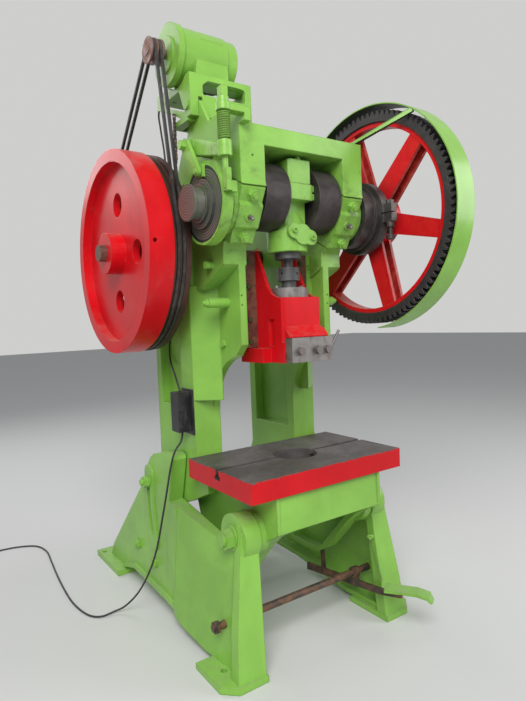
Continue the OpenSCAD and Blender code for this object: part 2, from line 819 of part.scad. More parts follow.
// The pulley is keyed to the motor shaft.
module motor_pulley() {
    color([0.38, 0.27, 0.22]) seat() {
        rod_x(-492, motor_x1 + 20, 19, motor_y, motor_z);
        rod_x(motor_x0 + 12, motor_x1 - 12, 70, motor_y, motor_z);
        difference() {
            rod_x(-488, -430, pulley_r + 6, motor_y, motor_z);
            for (x = belt_xs) groove(x, pulley_r + 6, 15, motor_y, motor_z);
        }
    }
}

// V-belts and their grooves.
belt_xs = [-472, -448];
belt_h = 11;
belt_w = 16.4;
wheel_belt_r = flywheel_d / 2 - 10;

// A V groove cut 'depth' deep into a rim of radius r around the X direction.
module groove(x, r, depth, y, z) {
    translate([x, y, z]) rotate([0, 90, 0]) rotate_extrude()
        polygon([[r - depth, -6], [r + 1, -9.6], [r + 1, 9.6], [r - depth, 6]]);
}

// Outer tangent line of two circles, as the (y, z) of its two touching points.
function tangent(side, ra, rb) =
    let(dy = shaft_y - motor_y, dz = shaft_z - motor_z, d = sqrt(dy * dy + dz * dz),
        base = atan2(dz, dy), a = base + side * acos((ra - rb) / d))
    [[motor_y + ra * cos(a), motor_z + ra * sin(a)], [shaft_y + rb * cos(a), shaft_z + rb * sin(a)]];

module belt_loop(ra, rb) {
    t1 = tangent(1, ra, rb);
    t2 = tangent(-1, ra, rb);
    union() {
        polygon([t1[0], t1[1], [shaft_y, shaft_z], t2[1], t2[0], [motor_y, motor_z]]);
        translate([motor_y, motor_z]) circle(r = ra, $fn = 96);
        translate([shaft_y, shaft_z]) circle(r = rb, $fn = 180);
    }
}

module v_belts() {
    color([0.08, 0.08, 0.08]) seat() for (x = belt_xs)
        along_x(x - belt_w / 2 + 2.2, x + belt_w / 2 - 2.2) difference() {
            belt_loop(pulley_r + 4, wheel_belt_r + 7);
            belt_loop(pulley_r + 4 - belt_h, wheel_belt_r + 7 - belt_h);
        }
}

// Flywheel on the left end of the back shaft.
flywheel_hub_x = -632;

module flywheel() {
    r = flywheel_d / 2;
    color(red) seat() difference() {
        union() {
            rod_x(flywheel_x, -492, r, shaft_y, shaft_z);
            rod_x(-494, flywheel_in_x, r - 6, shaft_y, shaft_z);
            rod_x(flywheel_hub_x + 8, flywheel_in_x + 20, 92, shaft_y, shaft_z);
        }
        // Dished left side, and a hollow right side between rim and hub.
        difference() {
            rod_x(flywheel_x - 1, flywheel_x + flywheel_dish, r - 54, shaft_y, shaft_z);
            rod_x(flywheel_x - 2, flywheel_x + flywheel_dish + 1, 92, shaft_y, shaft_z);
        }
        difference() {
            rod_x(flywheel_x + flywheel_dish + 34, flywheel_in_x + 1, r - 54, shaft_y, shaft_z);
            rod_x(flywheel_x + flywheel_dish, flywheel_in_x + 2, 92, shaft_y, shaft_z);
        }
        for (k = [0 : 3]) rod_x(flywheel_x - 1, flywheel_in_x + 1, flywheel_hole_d / 2,
            shaft_y + flywheel_hole_r * cos(90 * k + 4), shaft_z + flywheel_hole_r * sin(90 * k + 4));
        for (x = belt_xs) groove(x, r - 6, 15, shaft_y, shaft_z);
        rod_x(-700, -380, shaft_d / 2 - 8 + 0.02, shaft_y, shaft_z);
        translate([flywheel_x + 24, shaft_y, shaft_z]) rotate([90, 0, 0])
            translate([0, 0, r - 30]) cylinder(h = 40, r = 9);
    }
}

module back_shaft() {
    color(steel) seat() {
        rod_x(flywheel_hub_x - 22, flywheel_in_x + 24, shaft_d / 2 - 8, shaft_y, shaft_z);
        rod_x(flywheel_in_x + 24, gear_x - 20, shaft_d / 2, shaft_y, shaft_z);
        rod_x(gear_x - 20, gear_x + gear_w + 24, shaft_d / 2 - 12, shaft_y, shaft_z);
    }
}

module shaft_bearings() {
    color([0.72, 0.53, 0.26]) seat() both_sides() difference() {
        union() {
            rod_x(wall_in + 2, wall_out, shaft_d / 2 + bush_t, shaft_y, shaft_z);
            rod_x(wall_out + 0.2, wall_out + 16, shaft_d / 2 + bush_t + 16, shaft_y, shaft_z);
        }
        rod_x(wall_in, wall_out + 20, shaft_d / 2 + run_gap, shaft_y, shaft_z);
    }
}

// Half of one tooth's outline, as [radius, half angle] from root to tip.
function tooth_half(n) =
    let(rp = gear_m * n / 2, rb = rp * cos(20), ra = rp + gear_m, rf = rp - 1.25 * gear_m,
        lean = tan(20) * 180 / PI - 20, thick = 90 / n - 0.18 * 57.3 / rp,
        lo = max(rb, rf + 1))
    concat([[rf, (thick + lean)]],
        [for (i = [0 : 3]) let(r = lo + (ra - lo) * i / 3, c = min(1, rb / r), p = acos(c),
            inv = tan(p) * 180 / PI - p) [r, thick + lean - inv]]);

module toothed_disc(n, turn) {
    half = tooth_half(n);
    pitch = 360 / n;
    polygon([for (k = [0 : n - 1]) each concat(
        [for (p = half) let(a = k * pitch + turn - p[1]) [p[0] * cos(a), p[0] * sin(a)]],
        [for (i = [len(half) - 1 : -1 : 0]) let(p = half[i], a = k * pitch + turn + p[1])
            [p[0] * cos(a), p[0] * sin(a)]])]);
}

mesh_angle = atan2(-shaft_drop, shaft_y);

module bull_gear() {
    rim_in = gear_pitch_r - 62;
    hub_r = 128;
    color(dark) seat() difference() {
        union() {
            along_x(gear_x, gear_x + gear_w) translate([0, crank_z]) difference() {
                toothed_disc(gear_teeth, mesh_angle);
                circle(r = rim_in + 22);
            }
            along_x(gear_x + 8, gear_x + gear_w - 8) translate([0, crank_z]) difference() {
                circle(r = rim_in + 23);
                circle(r = rim_in);
            }
            rod_x(gear_x - 8, gear_x + gear_w + 12, hub_r, 0, crank_z);
            // Arms of I section: two flanges and a web.
            for (k = [0 : gear_arms - 1]) along_arm(k * 360 / gear_arms + 14, rim_in);
        }
        rod_x(gear_x - 20, gear_x + gear_w + 30, 77.02, 0, crank_z);
    }
}

module along_arm(turn, reach) {
    flange = 16;
    for (x = [gear_x + 10, gear_x + gear_w - 10 - flange]) {
        along_x(x, x + flange) translate([0, crank_z]) rotate(turn)
            polygon([[100, -50], [reach + 4, -38], [reach + 4, 38], [100, 50]]);
    }
    along_x(gear_x + 12, gear_x + gear_w - 12) translate([0, crank_z]) rotate(turn)
        polygon([[100, -13], [reach + 4, -10], [reach + 4, 10], [100, 13]]);
}

module gear_bush() {
    color([0.72, 0.53, 0.26]) seat() difference() {
        rod_x(gear_x - 8, gear_x + gear_w + 12, 77, 0, crank_z);
        rod_x(gear_x - 20, gear_x + gear_w + 30, overhang_r + run_gap, 0, crank_z);
    }
}

module pinion() {
    color(dark) seat() difference() {
        along_x(gear_x - 2, gear_x + gear_w + 2) translate([shaft_y, shaft_z])
            toothed_disc(pinion_teeth, mesh_angle + 180 + 180 / pinion_teeth);
        rod_x(gear_x - 10, gear_x + gear_w + 10, shaft_d / 2 - 12 + 0.02, shaft_y, shaft_z);
    }
}

// Guard over the front half of the bull gear, a bent flat band.
guard_a0 = 58;
guard_a1 = 262;

module gear_guard() {
    r = gear_pitch_r + gear_m + 22;
    color([0.55, 0.75, 0.3]) seat() intersection() {
        ring_x(gear_x - 18, gear_x + gear_w + 6, r + 5, r);
        along_x(gear_x - 40, gear_x + gear_w + 40) translate([0, crank_z])
            polygon([[0, 0], [900 * cos(guard_a0), 900 * sin(guard_a0)],
                [900 * cos(135), 900 * sin(135)], [-900, 0],
                [900 * cos(225), 900 * sin(225)], [900 * cos(guard_a1), 900 * sin(guard_a1)]]);
    }
}

module guard_stay() {
    r = gear_pitch_r + gear_m + 22;
    color([0.55, 0.75, 0.3]) seat() difference() {
        hull() {
            box(head_w - 24, head_w - 2, -66, -24, head_z + 0.2, head_z + 6);
            box(gear_x - 17, gear_x - 4, -306, -274, 2272, 2290);
        }
        ring_x(gear_x - 40, gear_x + 40, r + 60, r - 0.1);
    }
}

// Crankshaft: journals, two round webs and the crankpin, in one forging.
overhang_r = 60;

module crankshaft() {
    web_x = 196;
    pin_half = 76;
    color(dark) seat() {
        rod_x(-340, -web_x, journal_d / 2, 0, crank_z);
        rod_x(web_x, 340, journal_d / 2, 0, crank_z);
        rod_x(-472, -339, overhang_r, 0, crank_z);
        rod_x(-480, -470, 70, 0, crank_z);
        rod_x(339, gear_x + gear_w + 40, overhang_r, 0, crank_z);
        both_sides() rod_x(pin_half, web_x + 1, crank_web_r, 0, crank_z + throw / 2 + 2);
        rod_x(-pin_half - 1, pin_half + 1, crankpin_d / 2, 0, crank_z + throw);
    }
}

module clutch_body() {
    color(dark) seat() difference() {
        union() {
            rod_x(342, 402, 140, 0, crank_z);
            rod_x(400, 470, 150, 0, crank_z);
        }
        rod_x(330, 480, overhang_r + 0.02, 0, crank_z);
    }
}

// Split collar with a clamp bolt at the front.
module clutch_collar() {
    color(dark) seat() {
        difference() {
            union() {
                ring_x(424, 466, 168, 150.02);
                box(428, 462, -214, -150, crank_z - 40, crank_z + 40);
            }
            rod_x(400, 480, 150.02, 0, crank_z);
            box(420, 470, -230, -140, crank_z - 3, crank_z + 3);
        }
        rod_z(crank_z - 120, crank_z + 52, 10, 445, -190);
        hex_z(crank_z + 40.2, crank_z + 56, 32, 445, -190);
        rod_z(crank_z - 64, crank_z - 40, 18, 445, -190);
        rod_z(crank_z - 118, crank_z - 100, 20, 445, -190);
    }
}

// Connecting rod with its cap, cover, adjusting screw and lock collar.
pin_z = crank_z + throw;
rod_half = 60;
rod_front = -108;
// The bell passes between the ram's cheeks.
bell_r = 88;
bell_z = 1683;
shell_r = crankpin_d / 2 + run_gap;

module conrod() {
    color(paint) seat() difference() {
        union() {
            box(-rod_half, rod_half, rod_front, -rod_front, pin_z - 66, pin_z - 0.1);
            box(-rod_half + 6, rod_half - 6, -62, 62, 1760, pin_z - 60);
            rod_z(bell_z, 1772, bell_r, 0, 0);
            hull() {
                rod_z(1770, 1773, bell_r - 2, 0, 0, $fn = 32);
                rod_z(1846, 1850, 62, 0, 0, $fn = 32);
            }
            // Lugs of the clamp on the right side.
            box(rod_half - 4, rod_half + 14, -104, -40, pin_z - 62, pin_z - 36);
            box(rod_half - 4, rod_half + 14, -104, -40, pin_z - 28, pin_z - 2);
        }
        rod_x(-70, 80, shell_r, 0, pin_z);
        // Room for the crank webs to swing past.
        both_sides() rod_x(75.6, 130, crank_web_r + throw / 2 - 1, 0, pin_z);
        rod_z(1660, 1820, 40.05, 0, 0);
        for (y = [-88, 88]) rod_z(pin_z - 60, pin_z + 1, 10.05, 0, y);
    }
}

module conrod_cap() {
    top = pin_z + 97;
    color(paint) seat() difference() {
        union() {
            box(-rod_half, rod_half, rod_front, -rod_front, pin_z, top);
            for (y = [-88, 88]) {
                rod_z(pin_z - 58, top + 18, 10, 0, y);
                hex_z(top, top + 12, 26, 0, y);
            }
        }
        rod_x(-70, 80, shell_r, 0, pin_z);
        // Rounded vertical edges.
        for (sx = [-1, 1]) for (sy = [-1, 1]) translate([sx * rod_half, sy * 108, pin_z - 1])
            rotate([0, 0, 45]) translate([-7, -7, 0]) cube([14, 14, 110]);
    }
}

module conrod_cover() {
    color(paint) seat() translate([14, 4 - bell_r, 1752]) rotate([0, 16, 0]) difference() {
        union() {
            hull() for (x = [-46, 46]) rod_y(-12, -6.2 + 8, 32, x, 0, $fn = 32);
            rod_y(-12, 1.8, 44, 0, 0);
            for (x = [-50, 50]) {
                rod_y(-24, -11, 11, x, 0);
            }
        }
        for (x = [-50, 50]) rod_y(-30, -18, 6, x, 0);
        rotate([0, -16, 0]) translate([-14, bell_r - 4, -1752])
            rod_z(1600, 1790, bell_r + 0.3, 0, 0);
    }
}

// Adjusting screw: threaded shank, flange, neck, thread and ball.
ball_z = 1430;

module ball_screw() {
    color(dark) seat() {
        rod_z(1655, 1800, 40, 0, 0);
        rod_z(1655, bell_z - 0.3, 59, 0, 0);
        rod_z(1560, 1656, 21, 0, 0);
        rod_z(ball_z + 20, 1562, screw_r - 2, 0, 0);
        for (z = [1534 : 6 : 1552]) rod_z(z, z + 3, screw_r, 0, 0);
        translate([0, 0, ball_z]) sphere(r = ball_r);
    }
}

module lock_collar() {
    color(dark) seat() difference() {
        rod_z(1562.2, 1618, 49, 0, 0);
        rod_z(1560, 1620, 21.05, 0, 0);
        for (a = [0, 90]) rotate([0, 0, a - 75]) rod_y(-80, 80, 6, 0, 1592);
    }
}

// Ram: a body between two tall cheeks on a wide foot, open at the rear.
body_top = 1488;
foot_h = 62;
foot_half = 150;
lip_y = -130;
ram_back = 172;
cheek_t = 14;
clamp_y = -136;

module ram() {
    pocket = ball_r + 3;
    foot_z = ram_z + foot_h;
    color(red) seat() difference() {
        union() {
            along_x(-ram_w, ram_w) polygon([[ram_y, ram_z], [ram_y, 1319], [lip_y, 1319],
                [lip_y, 1326], [ram_y, 1366], [ram_y, body_top], [ram_back, body_top],
                [ram_back, ram_z]]);
            // Foot below the gibs.
            box(-foot_half, foot_half, 3, ram_back, ram_z, foot_z);
            // Cheeks that rise along the gibs.
            both_sides() {
                along_x(ram_w - cheek_t, ram_w) polygon([[-62, body_top - 1], [-40, 1494],
                    [-12, 1506], [12, 1532], [92, ram_top_z], [ram_back, ram_top_z],
                    [ram_back, body_top - 1]]);
                box(ram_w - 1, tongue_x, tongue_y, tongue_y + tongue_h, foot_z - 1, 1690);
            }
        }
        // Rounded front edges of the body.
        for (sx = [-1, 1]) translate([sx * ram_w, ram_y, 1300]) rotate([0, 0, 45])
            translate([-9, -9, 0]) cube([18, 18, 200]);
        // Recess in each side face.
        both_sides() box(ram_w - 10, ram_w + 1, -24, 14, 1284, 1398);
        // Pocket for the ball, open towards the rear.
        box(-pocket, pocket, -62, 200, 1354, body_top + 1);
        rod_z(ram_z - 1, ram_z + 106, shank_d / 2, 0, 0);
        box(-clamp_tongue - 0.3, clamp_tongue + 0.3, lip_y - 1, 0.3, ram_z - 1, 1319);
        for (x = clamp_bolt_xs) rod_y(ram_y - 1, 60, 9, x, 1262);
    }
}

// Two half rings that hold the ball down, cut away at the rear.
module ball_cap() {
    slot = screw_r + 1.5;
    color(steel) seat() difference() {
        union() {
            rod_z(body_top + 0.1, 1530, 84, 0, 0);
            for (sx = [-1, 1]) rod_z(1530, 1541, 9, sx * 66, 0);
        }
        rod_z(1480, 1540, slot, 0, 0);
        box(-slot, slot, 0, 200, 1480, 1540);
        box(-0.6, 0.6, -100, 0, 1480, 1540);
    }
}

clamp_x0 = -98;
clamp_x1 = 122;
clamp_tongue = 70;
clamp_bolt_xs = [-54, 40, 92];

module shank_clamp() {
    color(steel) seat() difference() {
        union() {
            box(clamp_x0, clamp_x1, clamp_y, ram_y - 0.2, ram_z + 2, 1318);
            box(-clamp_tongue, clamp_tongue, ram_y - 1, 0, ram_z + 2, 1318);
        }
        rod_z(ram_z, 1330, shank_d / 2, 0, 0);
        for (x = clamp_bolt_xs) rod_y(clamp_y - 1, 1, 9.2, x, 1262);
    }
}

module clamp_bolts() {
    color(rust) seat() {
        for (x = clamp_bolt_xs) {
            rod_y(clamp_y - 10, 58, 8.95, x, 1262);
            translate([x, clamp_y - 0.2, 1262]) rotate([90, 0, 0]) cylinder(h = 16, r = 17);
        }
        // Lever of the clamp, at its right end.
        rod_x(clamp_x1 + 0.2, 138, 11, -112, 1262);
        translate([132, -112, 1262]) rotate([0, 33, 0]) cylinder(h = 92, r = 6);
    }
}

// Treadle: a flat bar on the front rod, with its pedal, spring and trip rod.
treadle_x = 300;

trip_pin = [197, 105];

module treadle_bar() {
    color(rust) seat() difference() {
        union() {
            along_x(treadle_x - treadle_t / 2, treadle_x + treadle_t / 2)
                polygon([[313, 71], [312, 107], [34, 139], [-215, 170], [-330, 184],
                    [-330, 172], [-214, 142], [35, 108]]);
            along_x(treadle_x - 7, treadle_x + 7)
                polygon([[-66, 140], [-62, 190], [-20, 190], [-14, 136]]);
            rod_x(treadle_x - 16, treadle_x + 16, 25, treadle_y, treadle_z);
        }
        rod_x(treadle_x - 40, treadle_x + 40, tie_r + run_gap, treadle_y, treadle_z);
        rod_x(treadle_x - 20, treadle_x + 20, 6, trip_pin[0], trip_pin[1]);
    }
}

// Foot pedal: a narrow plate set askew on the end of the bar.
module foot_pedal() {
    color(paint) seat() translate([treadle_x, -262, 0]) rotate([0, 0, 32])
        difference() {
            along_x(-34, 36) polygon([[20, 180], [20, 193], [-120, 196], [-170, 184],
                [-186, 162], [-180, 158], [-164, 175], [-118, 184]]);
            // Seat on the sloping bar.
            rotate([0, 0, -32]) translate([-treadle_x, 262, 0])
                along_x(treadle_x - 9, treadle_x + 9) polygon([[-215, 170.2], [-331, 184.4],
                    [-331, 150], [-215, 150]]);
            for (sx = [-1, 1]) translate([sx * 36, -188, 170]) rotate([0, 0, 45])
                cube([26, 26, 60], center = true);
        }
}

module trip_rod() {
    color(rust) seat() {
        rod_x(treadle_x - 14, treadle_x + 17, 5.9, trip_pin[0], trip_pin[1]);
        along_x(treadle_x + 9, treadle_x + 15) polygon([[182, 92], [212, 92], [232, 480],
            [208, 480]]);
    }
}

// Tension spring between the pedal and the eye on the right leg.
spring_low = [306, -212, 199];
spring_high = [296, -151, 376.8];

module pedal_spring() {
    d = spring_high - spring_low;
    across = sqrt(d[0] * d[0] + d[1] * d[1]);
    color(paint) seat() translate(spring_low) rotate([0, atan2(across, d[2]), atan2(d[1], d[0])])
        helix(5, 1.6, 0, norm(d), 20, 9, 5);
}

// Switch on a plate on the left column.
module switch_box() {
    color(dark) seat() {
        box(-wall_out - 6, -wall_out - 0.1, 280, 392, 892, 1098);
        box(-wall_out - 62, -wall_out - 6, 315, 390, 905, 1085);
    }
}

module hanging_chain() {
    color(dark) seat() for (k = [0 : 11]) {
        translate([-365.3, 300, 2296 - k * 17]) rotate([0, 0, 90 * (k % 2)])
            difference() {
                box(-7, 7, -2.5, 2.5, -14, 14);
                box(-3, 3, -4, 4, -9, 9);
            }
    }
}

// Cords, swept along points chosen by hand.
lead_pts = [[-376, 352, 1088], [-372, 400, 1150], [-318, 560, 1210], [-308, 585, 1300],
    [-308, 520, 1440], [-332, 465, 1520], [-353, 440, 1585], [-353, 430, 1680],
    [-352, 430, 1820], [-352, 430, 1960], [-353, 432, 2070], [-350, 450, 2190],
    [-348, 480, 2300], [-340, 506, 2390], [-300, 500, 2465], [-240, 476, 2484],
    [-240, 430, 2506.9]];
cord_pts = [[-376, 345, 903.4], [-388, 342, 860], [-432, 345, 790], [-474, 372, 560],
    [-505, 430, 330], [-540, 530, 150], [-585, 625, 40], [-640, 655, 13], [-700, 664, 5.6],
    [-744, 720, 5], [-768, 850, 5], [-770, 1000, 5], [-756, 1240, 5], [-734, 1480, 5],
    [-722, 1650, 5], [-760, 1780, 5], [-880, 1846, 5], [-1000, 1850, 5], [-1078, 1812, 5],
    [-1112.1, 1758.5, 5]];
coil_centre = [-1150, 1700];
coil_mid_r = 56;

function spline(p, i, f) =
    let(n = len(p) - 1, a = p[max(i - 1, 0)], b = p[i], c = p[i + 1], d = p[min(i + 2, n)])
    0.5 * (2 * b + (c - a) * f + (2 * a - 5 * b + 4 * c - d) * f * f
        + (3 * b - a - 3 * c + d) * f * f * f);
function unit(v) = v / norm(v);

module cord(p, r, rings) {
    sides = 8;
    n = len(p) - 1;
    total = n * rings;
    path = [for (k = [0 : total]) k == total ? p[n] : spline(p, floor(k / rings), (k % rings) / rings)];
    dir = [for (k = [0 : total]) unit(path[min(k + 1, total)] - path[max(k - 1, 0)])];
    pts = [for (k = [0 : total]) for (s = [0 : sides - 1])
        let(u = unit(cross(dir[k], [0.35, 0.9, 0.12])), v = cross(dir[k], u), a = 360 * s / sides)
        path[k] + r * (cos(a) * u + sin(a) * v)];
    polyhedron(points = pts, faces = tube_faces(total, sides), convexity = 6);
}

module motor_lead() {
    color(dark) seat() cord(lead_pts, lead_d / 2, 4);
}

module supply_cord() {
    color(dark) seat() cord(cord_pts, cord_d / 2, 4);
}

module supply_coil() {
    color(dark) seat() translate([coil_centre[0], coil_centre[1], 0]) rotate_extrude()
        translate([coil_mid_r - 1.5 * cord_d, 0.5]) square([3 * cord_d, 2 * cord_d]);
}

left_leg();
right_leg();
rear_tie_rods();
treadle_rod();
pivot_bolts();
frame_casting();
bolster_plate();
bearing_cap_left();
bearing_cap_right();
cap_studs();
bearing_bushes();
gib_left();
gib_right();
gib_screws();
slot_bolts();
grease_fittings();
brake_strap();
brake_lining();
brake_lever();
brake_link();
brake_spring();
brake_bolt();
motor_platform();
hinge_rod();
jack_screws();
motor_body();
motor_end_shields();
terminal_box();
gear_guard();
guard_stay();
shaft_bearings();
v_belts();
switch_box();
hanging_chain();
motor_lead();
supply_cord();
supply_coil();
bull_gear();
gear_bush();
flywheel();
back_shaft();
pinion();
motor_pulley();
crankshaft();
brake_drum();
clutch_body();
clutch_collar();
conrod();
conrod_cap();
conrod_cover();
ball_screw();
lock_collar();
ram();
ball_cap();
shank_clamp();
clamp_bolts();
treadle_bar();
foot_pedal();
trip_rod();
pedal_spring();
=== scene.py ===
"""Looks of an inclinable open-front stamping press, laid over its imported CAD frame.

Castings are brushed with glossy lime green enamel, the moving masses with red,
and the working parts are bare, greasy or rusty steel.
"""

import math

import bmesh
import bpy
from mathutils import Euler, Matrix, Vector


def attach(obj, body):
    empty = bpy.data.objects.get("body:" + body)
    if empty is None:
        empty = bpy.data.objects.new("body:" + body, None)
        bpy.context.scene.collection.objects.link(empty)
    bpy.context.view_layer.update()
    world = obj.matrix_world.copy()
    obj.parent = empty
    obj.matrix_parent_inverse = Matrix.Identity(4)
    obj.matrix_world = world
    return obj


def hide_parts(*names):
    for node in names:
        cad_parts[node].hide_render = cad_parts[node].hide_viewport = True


bl_info = {
    "name": "Stamping Press",
    "version": (1, 0, 0),
    "blender": (4, 5, 0),
    "location": "View3D > Sidebar > Press",
    "description": "Dresses the stamping press with its paints, bare metal, cords and chain",
    "category": "Object",
}

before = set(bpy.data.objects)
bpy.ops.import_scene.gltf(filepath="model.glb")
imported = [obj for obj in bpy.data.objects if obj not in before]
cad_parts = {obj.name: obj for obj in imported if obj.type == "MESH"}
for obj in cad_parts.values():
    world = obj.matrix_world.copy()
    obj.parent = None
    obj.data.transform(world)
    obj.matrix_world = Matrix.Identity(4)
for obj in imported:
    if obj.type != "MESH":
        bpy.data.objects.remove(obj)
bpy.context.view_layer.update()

# The CAD is drawn about the die centre and then set over the foot bolts.
SEAT_Y = -0.630
CRANK_Z = 1.858
SHAFT_Y, SHAFT_Z = 0.544 + SEAT_Y, 1.725
# Where two finishes on one casting meet, in metres.
GEAR_X, GEAR_RIM_IN = 0.533, 0.446
GROOVES_X, GROOVES_R = -0.493, 0.425
TABLE_Z, TABLE_HALF_W = 0.800, 0.400
DIE_HOLE_R, SLOT_HEAD_HALF = 0.098, 0.021
# Turned rings on the crank's end: radians for each metre of radius.
RING_PITCH = 620.0
# The photograph's camera: eye, turns in degrees, and focal length in the picture's pixels.
EYE = (-1.463, -1.905 + SEAT_Y, 1.400)
VIEW_TURN, VIEW_TILT, VIEW_ROLL = -34.57, -3.27, -2.28
FOCAL_PX, PICTURE_HIGH_PX = 545.9, 701
SENSOR_HIGH = 36.0
# Name, place, aim, side in metres, and share of the key light's power.
LAMPS = (
    ("key", (-3.2, -4.6, 5.2), (0, -0.4, 1.2), 3.4, 1.0),
    ("fill", (4.2, -3.6, 3.0), (0, -0.4, 1.1), 3.0, 0.30),
    ("back", (-1.0, 4.4, 4.4), (0, -0.3, 1.3), 3.0, 0.25),
)

# The cords' routes and coil, in millimetres about the die centre, as the CAD has them.
LEAD_ROUTE = [
    (-376, 352, 1088), (-372, 400, 1150), (-318, 560, 1210), (-308, 585, 1300),
    (-308, 520, 1440), (-332, 465, 1520), (-353, 440, 1585), (-353, 430, 1680),
    (-352, 430, 1820), (-352, 430, 1960), (-353, 432, 2070), (-350, 450, 2190),
    (-348, 480, 2300), (-340, 506, 2390), (-300, 500, 2465), (-240, 476, 2484),
    (-240, 430, 2506.9),
]
CORD_ROUTE = [
    (-376, 345, 903.4), (-388, 342, 860), (-432, 345, 790), (-474, 372, 560),
    (-505, 430, 330), (-540, 530, 150), (-585, 625, 40), (-640, 655, 13), (-700, 664, 5.6),
    (-744, 720, 5), (-768, 850, 5), (-770, 1000, 5), (-756, 1240, 5), (-734, 1480, 5),
    (-722, 1650, 5), (-760, 1780, 5), (-880, 1846, 5), (-1000, 1850, 5), (-1078, 1812, 5),
]
COIL_CENTRE = (-1150, 1700)
COIL_MID_R = 56
COIL_PITCH = 9.3
CORD_D = 9
LIE_Z = 5.0
LAYER_RISE = 9.2


def metres(p):
    """A point of the CAD source, in millimetres about the die centre, in the frame."""
    return Vector((p[0] / 1000, p[1] / 1000 + SEAT_Y, p[2] / 1000))


# Settings


class PressPaint(bpy.types.PropertyGroup):
    lime: bpy.props.FloatVectorProperty(
        name="Castings", description="Enamel on the castings", subtype="COLOR", size=3,
        min=0, max=1, default=(0.250, 0.520, 0.078))
    red: bpy.props.FloatVectorProperty(
        name="Moving masses", description="Enamel on the wheel, gear, ram and bolster",
        subtype="COLOR", size=3, min=0, max=1, default=(0.690, 0.006, 0.012))
    edge_wear: bpy.props.FloatProperty(
        name="Edge wear", description="Paint rubbed off along the edges",
        subtype="FACTOR", min=0, max=1, default=0.45)
    chips: bpy.props.FloatProperty(
        name="Chips", description="Small chips over the faces",
        subtype="FACTOR", min=0, max=1, default=0.35)
    dust: bpy.props.FloatProperty(
        name="Dust", description="Dust that lies on upward faces",
        subtype="FACTOR", min=0, max=1, default=0.35)


class PressMetal(bpy.types.PropertyGroup):
    rust: bpy.props.FloatVectorProperty(
        name="Rust", description="Dry rust on bare steel", subtype="COLOR", size=3,
        min=0, max=1, default=(0.150, 0.070, 0.035))
    grease: bpy.props.FloatVectorProperty(
        name="Grease", description="Old grease on the drive", subtype="COLOR", size=3,
        min=0, max=1, default=(0.040, 0.033, 0.033))
    bare: bpy.props.FloatVectorProperty(
        name="Bare steel", description="Machined steel", subtype="COLOR", size=3,
        min=0, max=1, default=(0.330, 0.310, 0.300))


class PressCords(bpy.types.PropertyGroup):
    diameter: bpy.props.FloatProperty(
        name="Cord diameter", description="Outer diameter of both cords",
        subtype="DISTANCE", unit="LENGTH", min=0.004, max=0.02, default=CORD_D / 1000)
    coil_turns: bpy.props.IntProperty(
        name="Coil turns", description="Turns in each of the coil's two layers",
        min=1, max=3, default=3)


class PressStage(bpy.types.PropertyGroup):
    floor: bpy.props.FloatVectorProperty(
        name="Floor", description="Colour of the floor and the backdrop", subtype="COLOR",
        size=3, min=0, max=1, default=(0.62, 0.62, 0.61))
    key_power: bpy.props.FloatProperty(
        name="Key light", description="Strength of the large soft light", unit="POWER",
        min=0, max=2000, default=390)
    sky: bpy.props.FloatProperty(
        name="Sky", description="Strength of the even light all round",
        min=0, max=3, default=0.34)


# Shader maths


class Term:
    """A shader socket that takes part in Python arithmetic."""

    def __init__(self, sheet, socket):
        self.sheet, self.socket = sheet, socket

    def _math(self, operation, *values):
        return self.sheet.node("ShaderNodeMath", {"operation": operation}, *values)

    def __add__(self, other):
        return self._math("ADD", self, other)

    def __radd__(self, other):
        return self._math("ADD", other, self)

    def __sub__(self, other):
        return self._math("SUBTRACT", self, other)

    def __rsub__(self, other):
        return self._math("SUBTRACT", other, self)

    def __mul__(self, other):
        return self._math("MULTIPLY", self, other)

    def __rmul__(self, other):
        return self._math("MULTIPLY", other, self)

    def __pow__(self, other):
        return self._math("POWER", self, other)

    def above(self, low, high):
        """0 below low, 1 above high and smooth between."""
        return self.sheet.node(
            "ShaderNodeMapRange", {"interpolation_type": "SMOOTHSTEP"},
            Value=self, **{"From Min": low, "From Max": high})

    def below(self, low, high):
        return 1 - self.above(low, high)

    def most(self, other):
        return self._math("MAXIMUM", self, other)

    def size(self):
        return self._math("ABSOLUTE", self)

    def wave(self):
        """A sine between 0 and 1."""
        return self._math("SINE", self) * 0.5 + 0.5


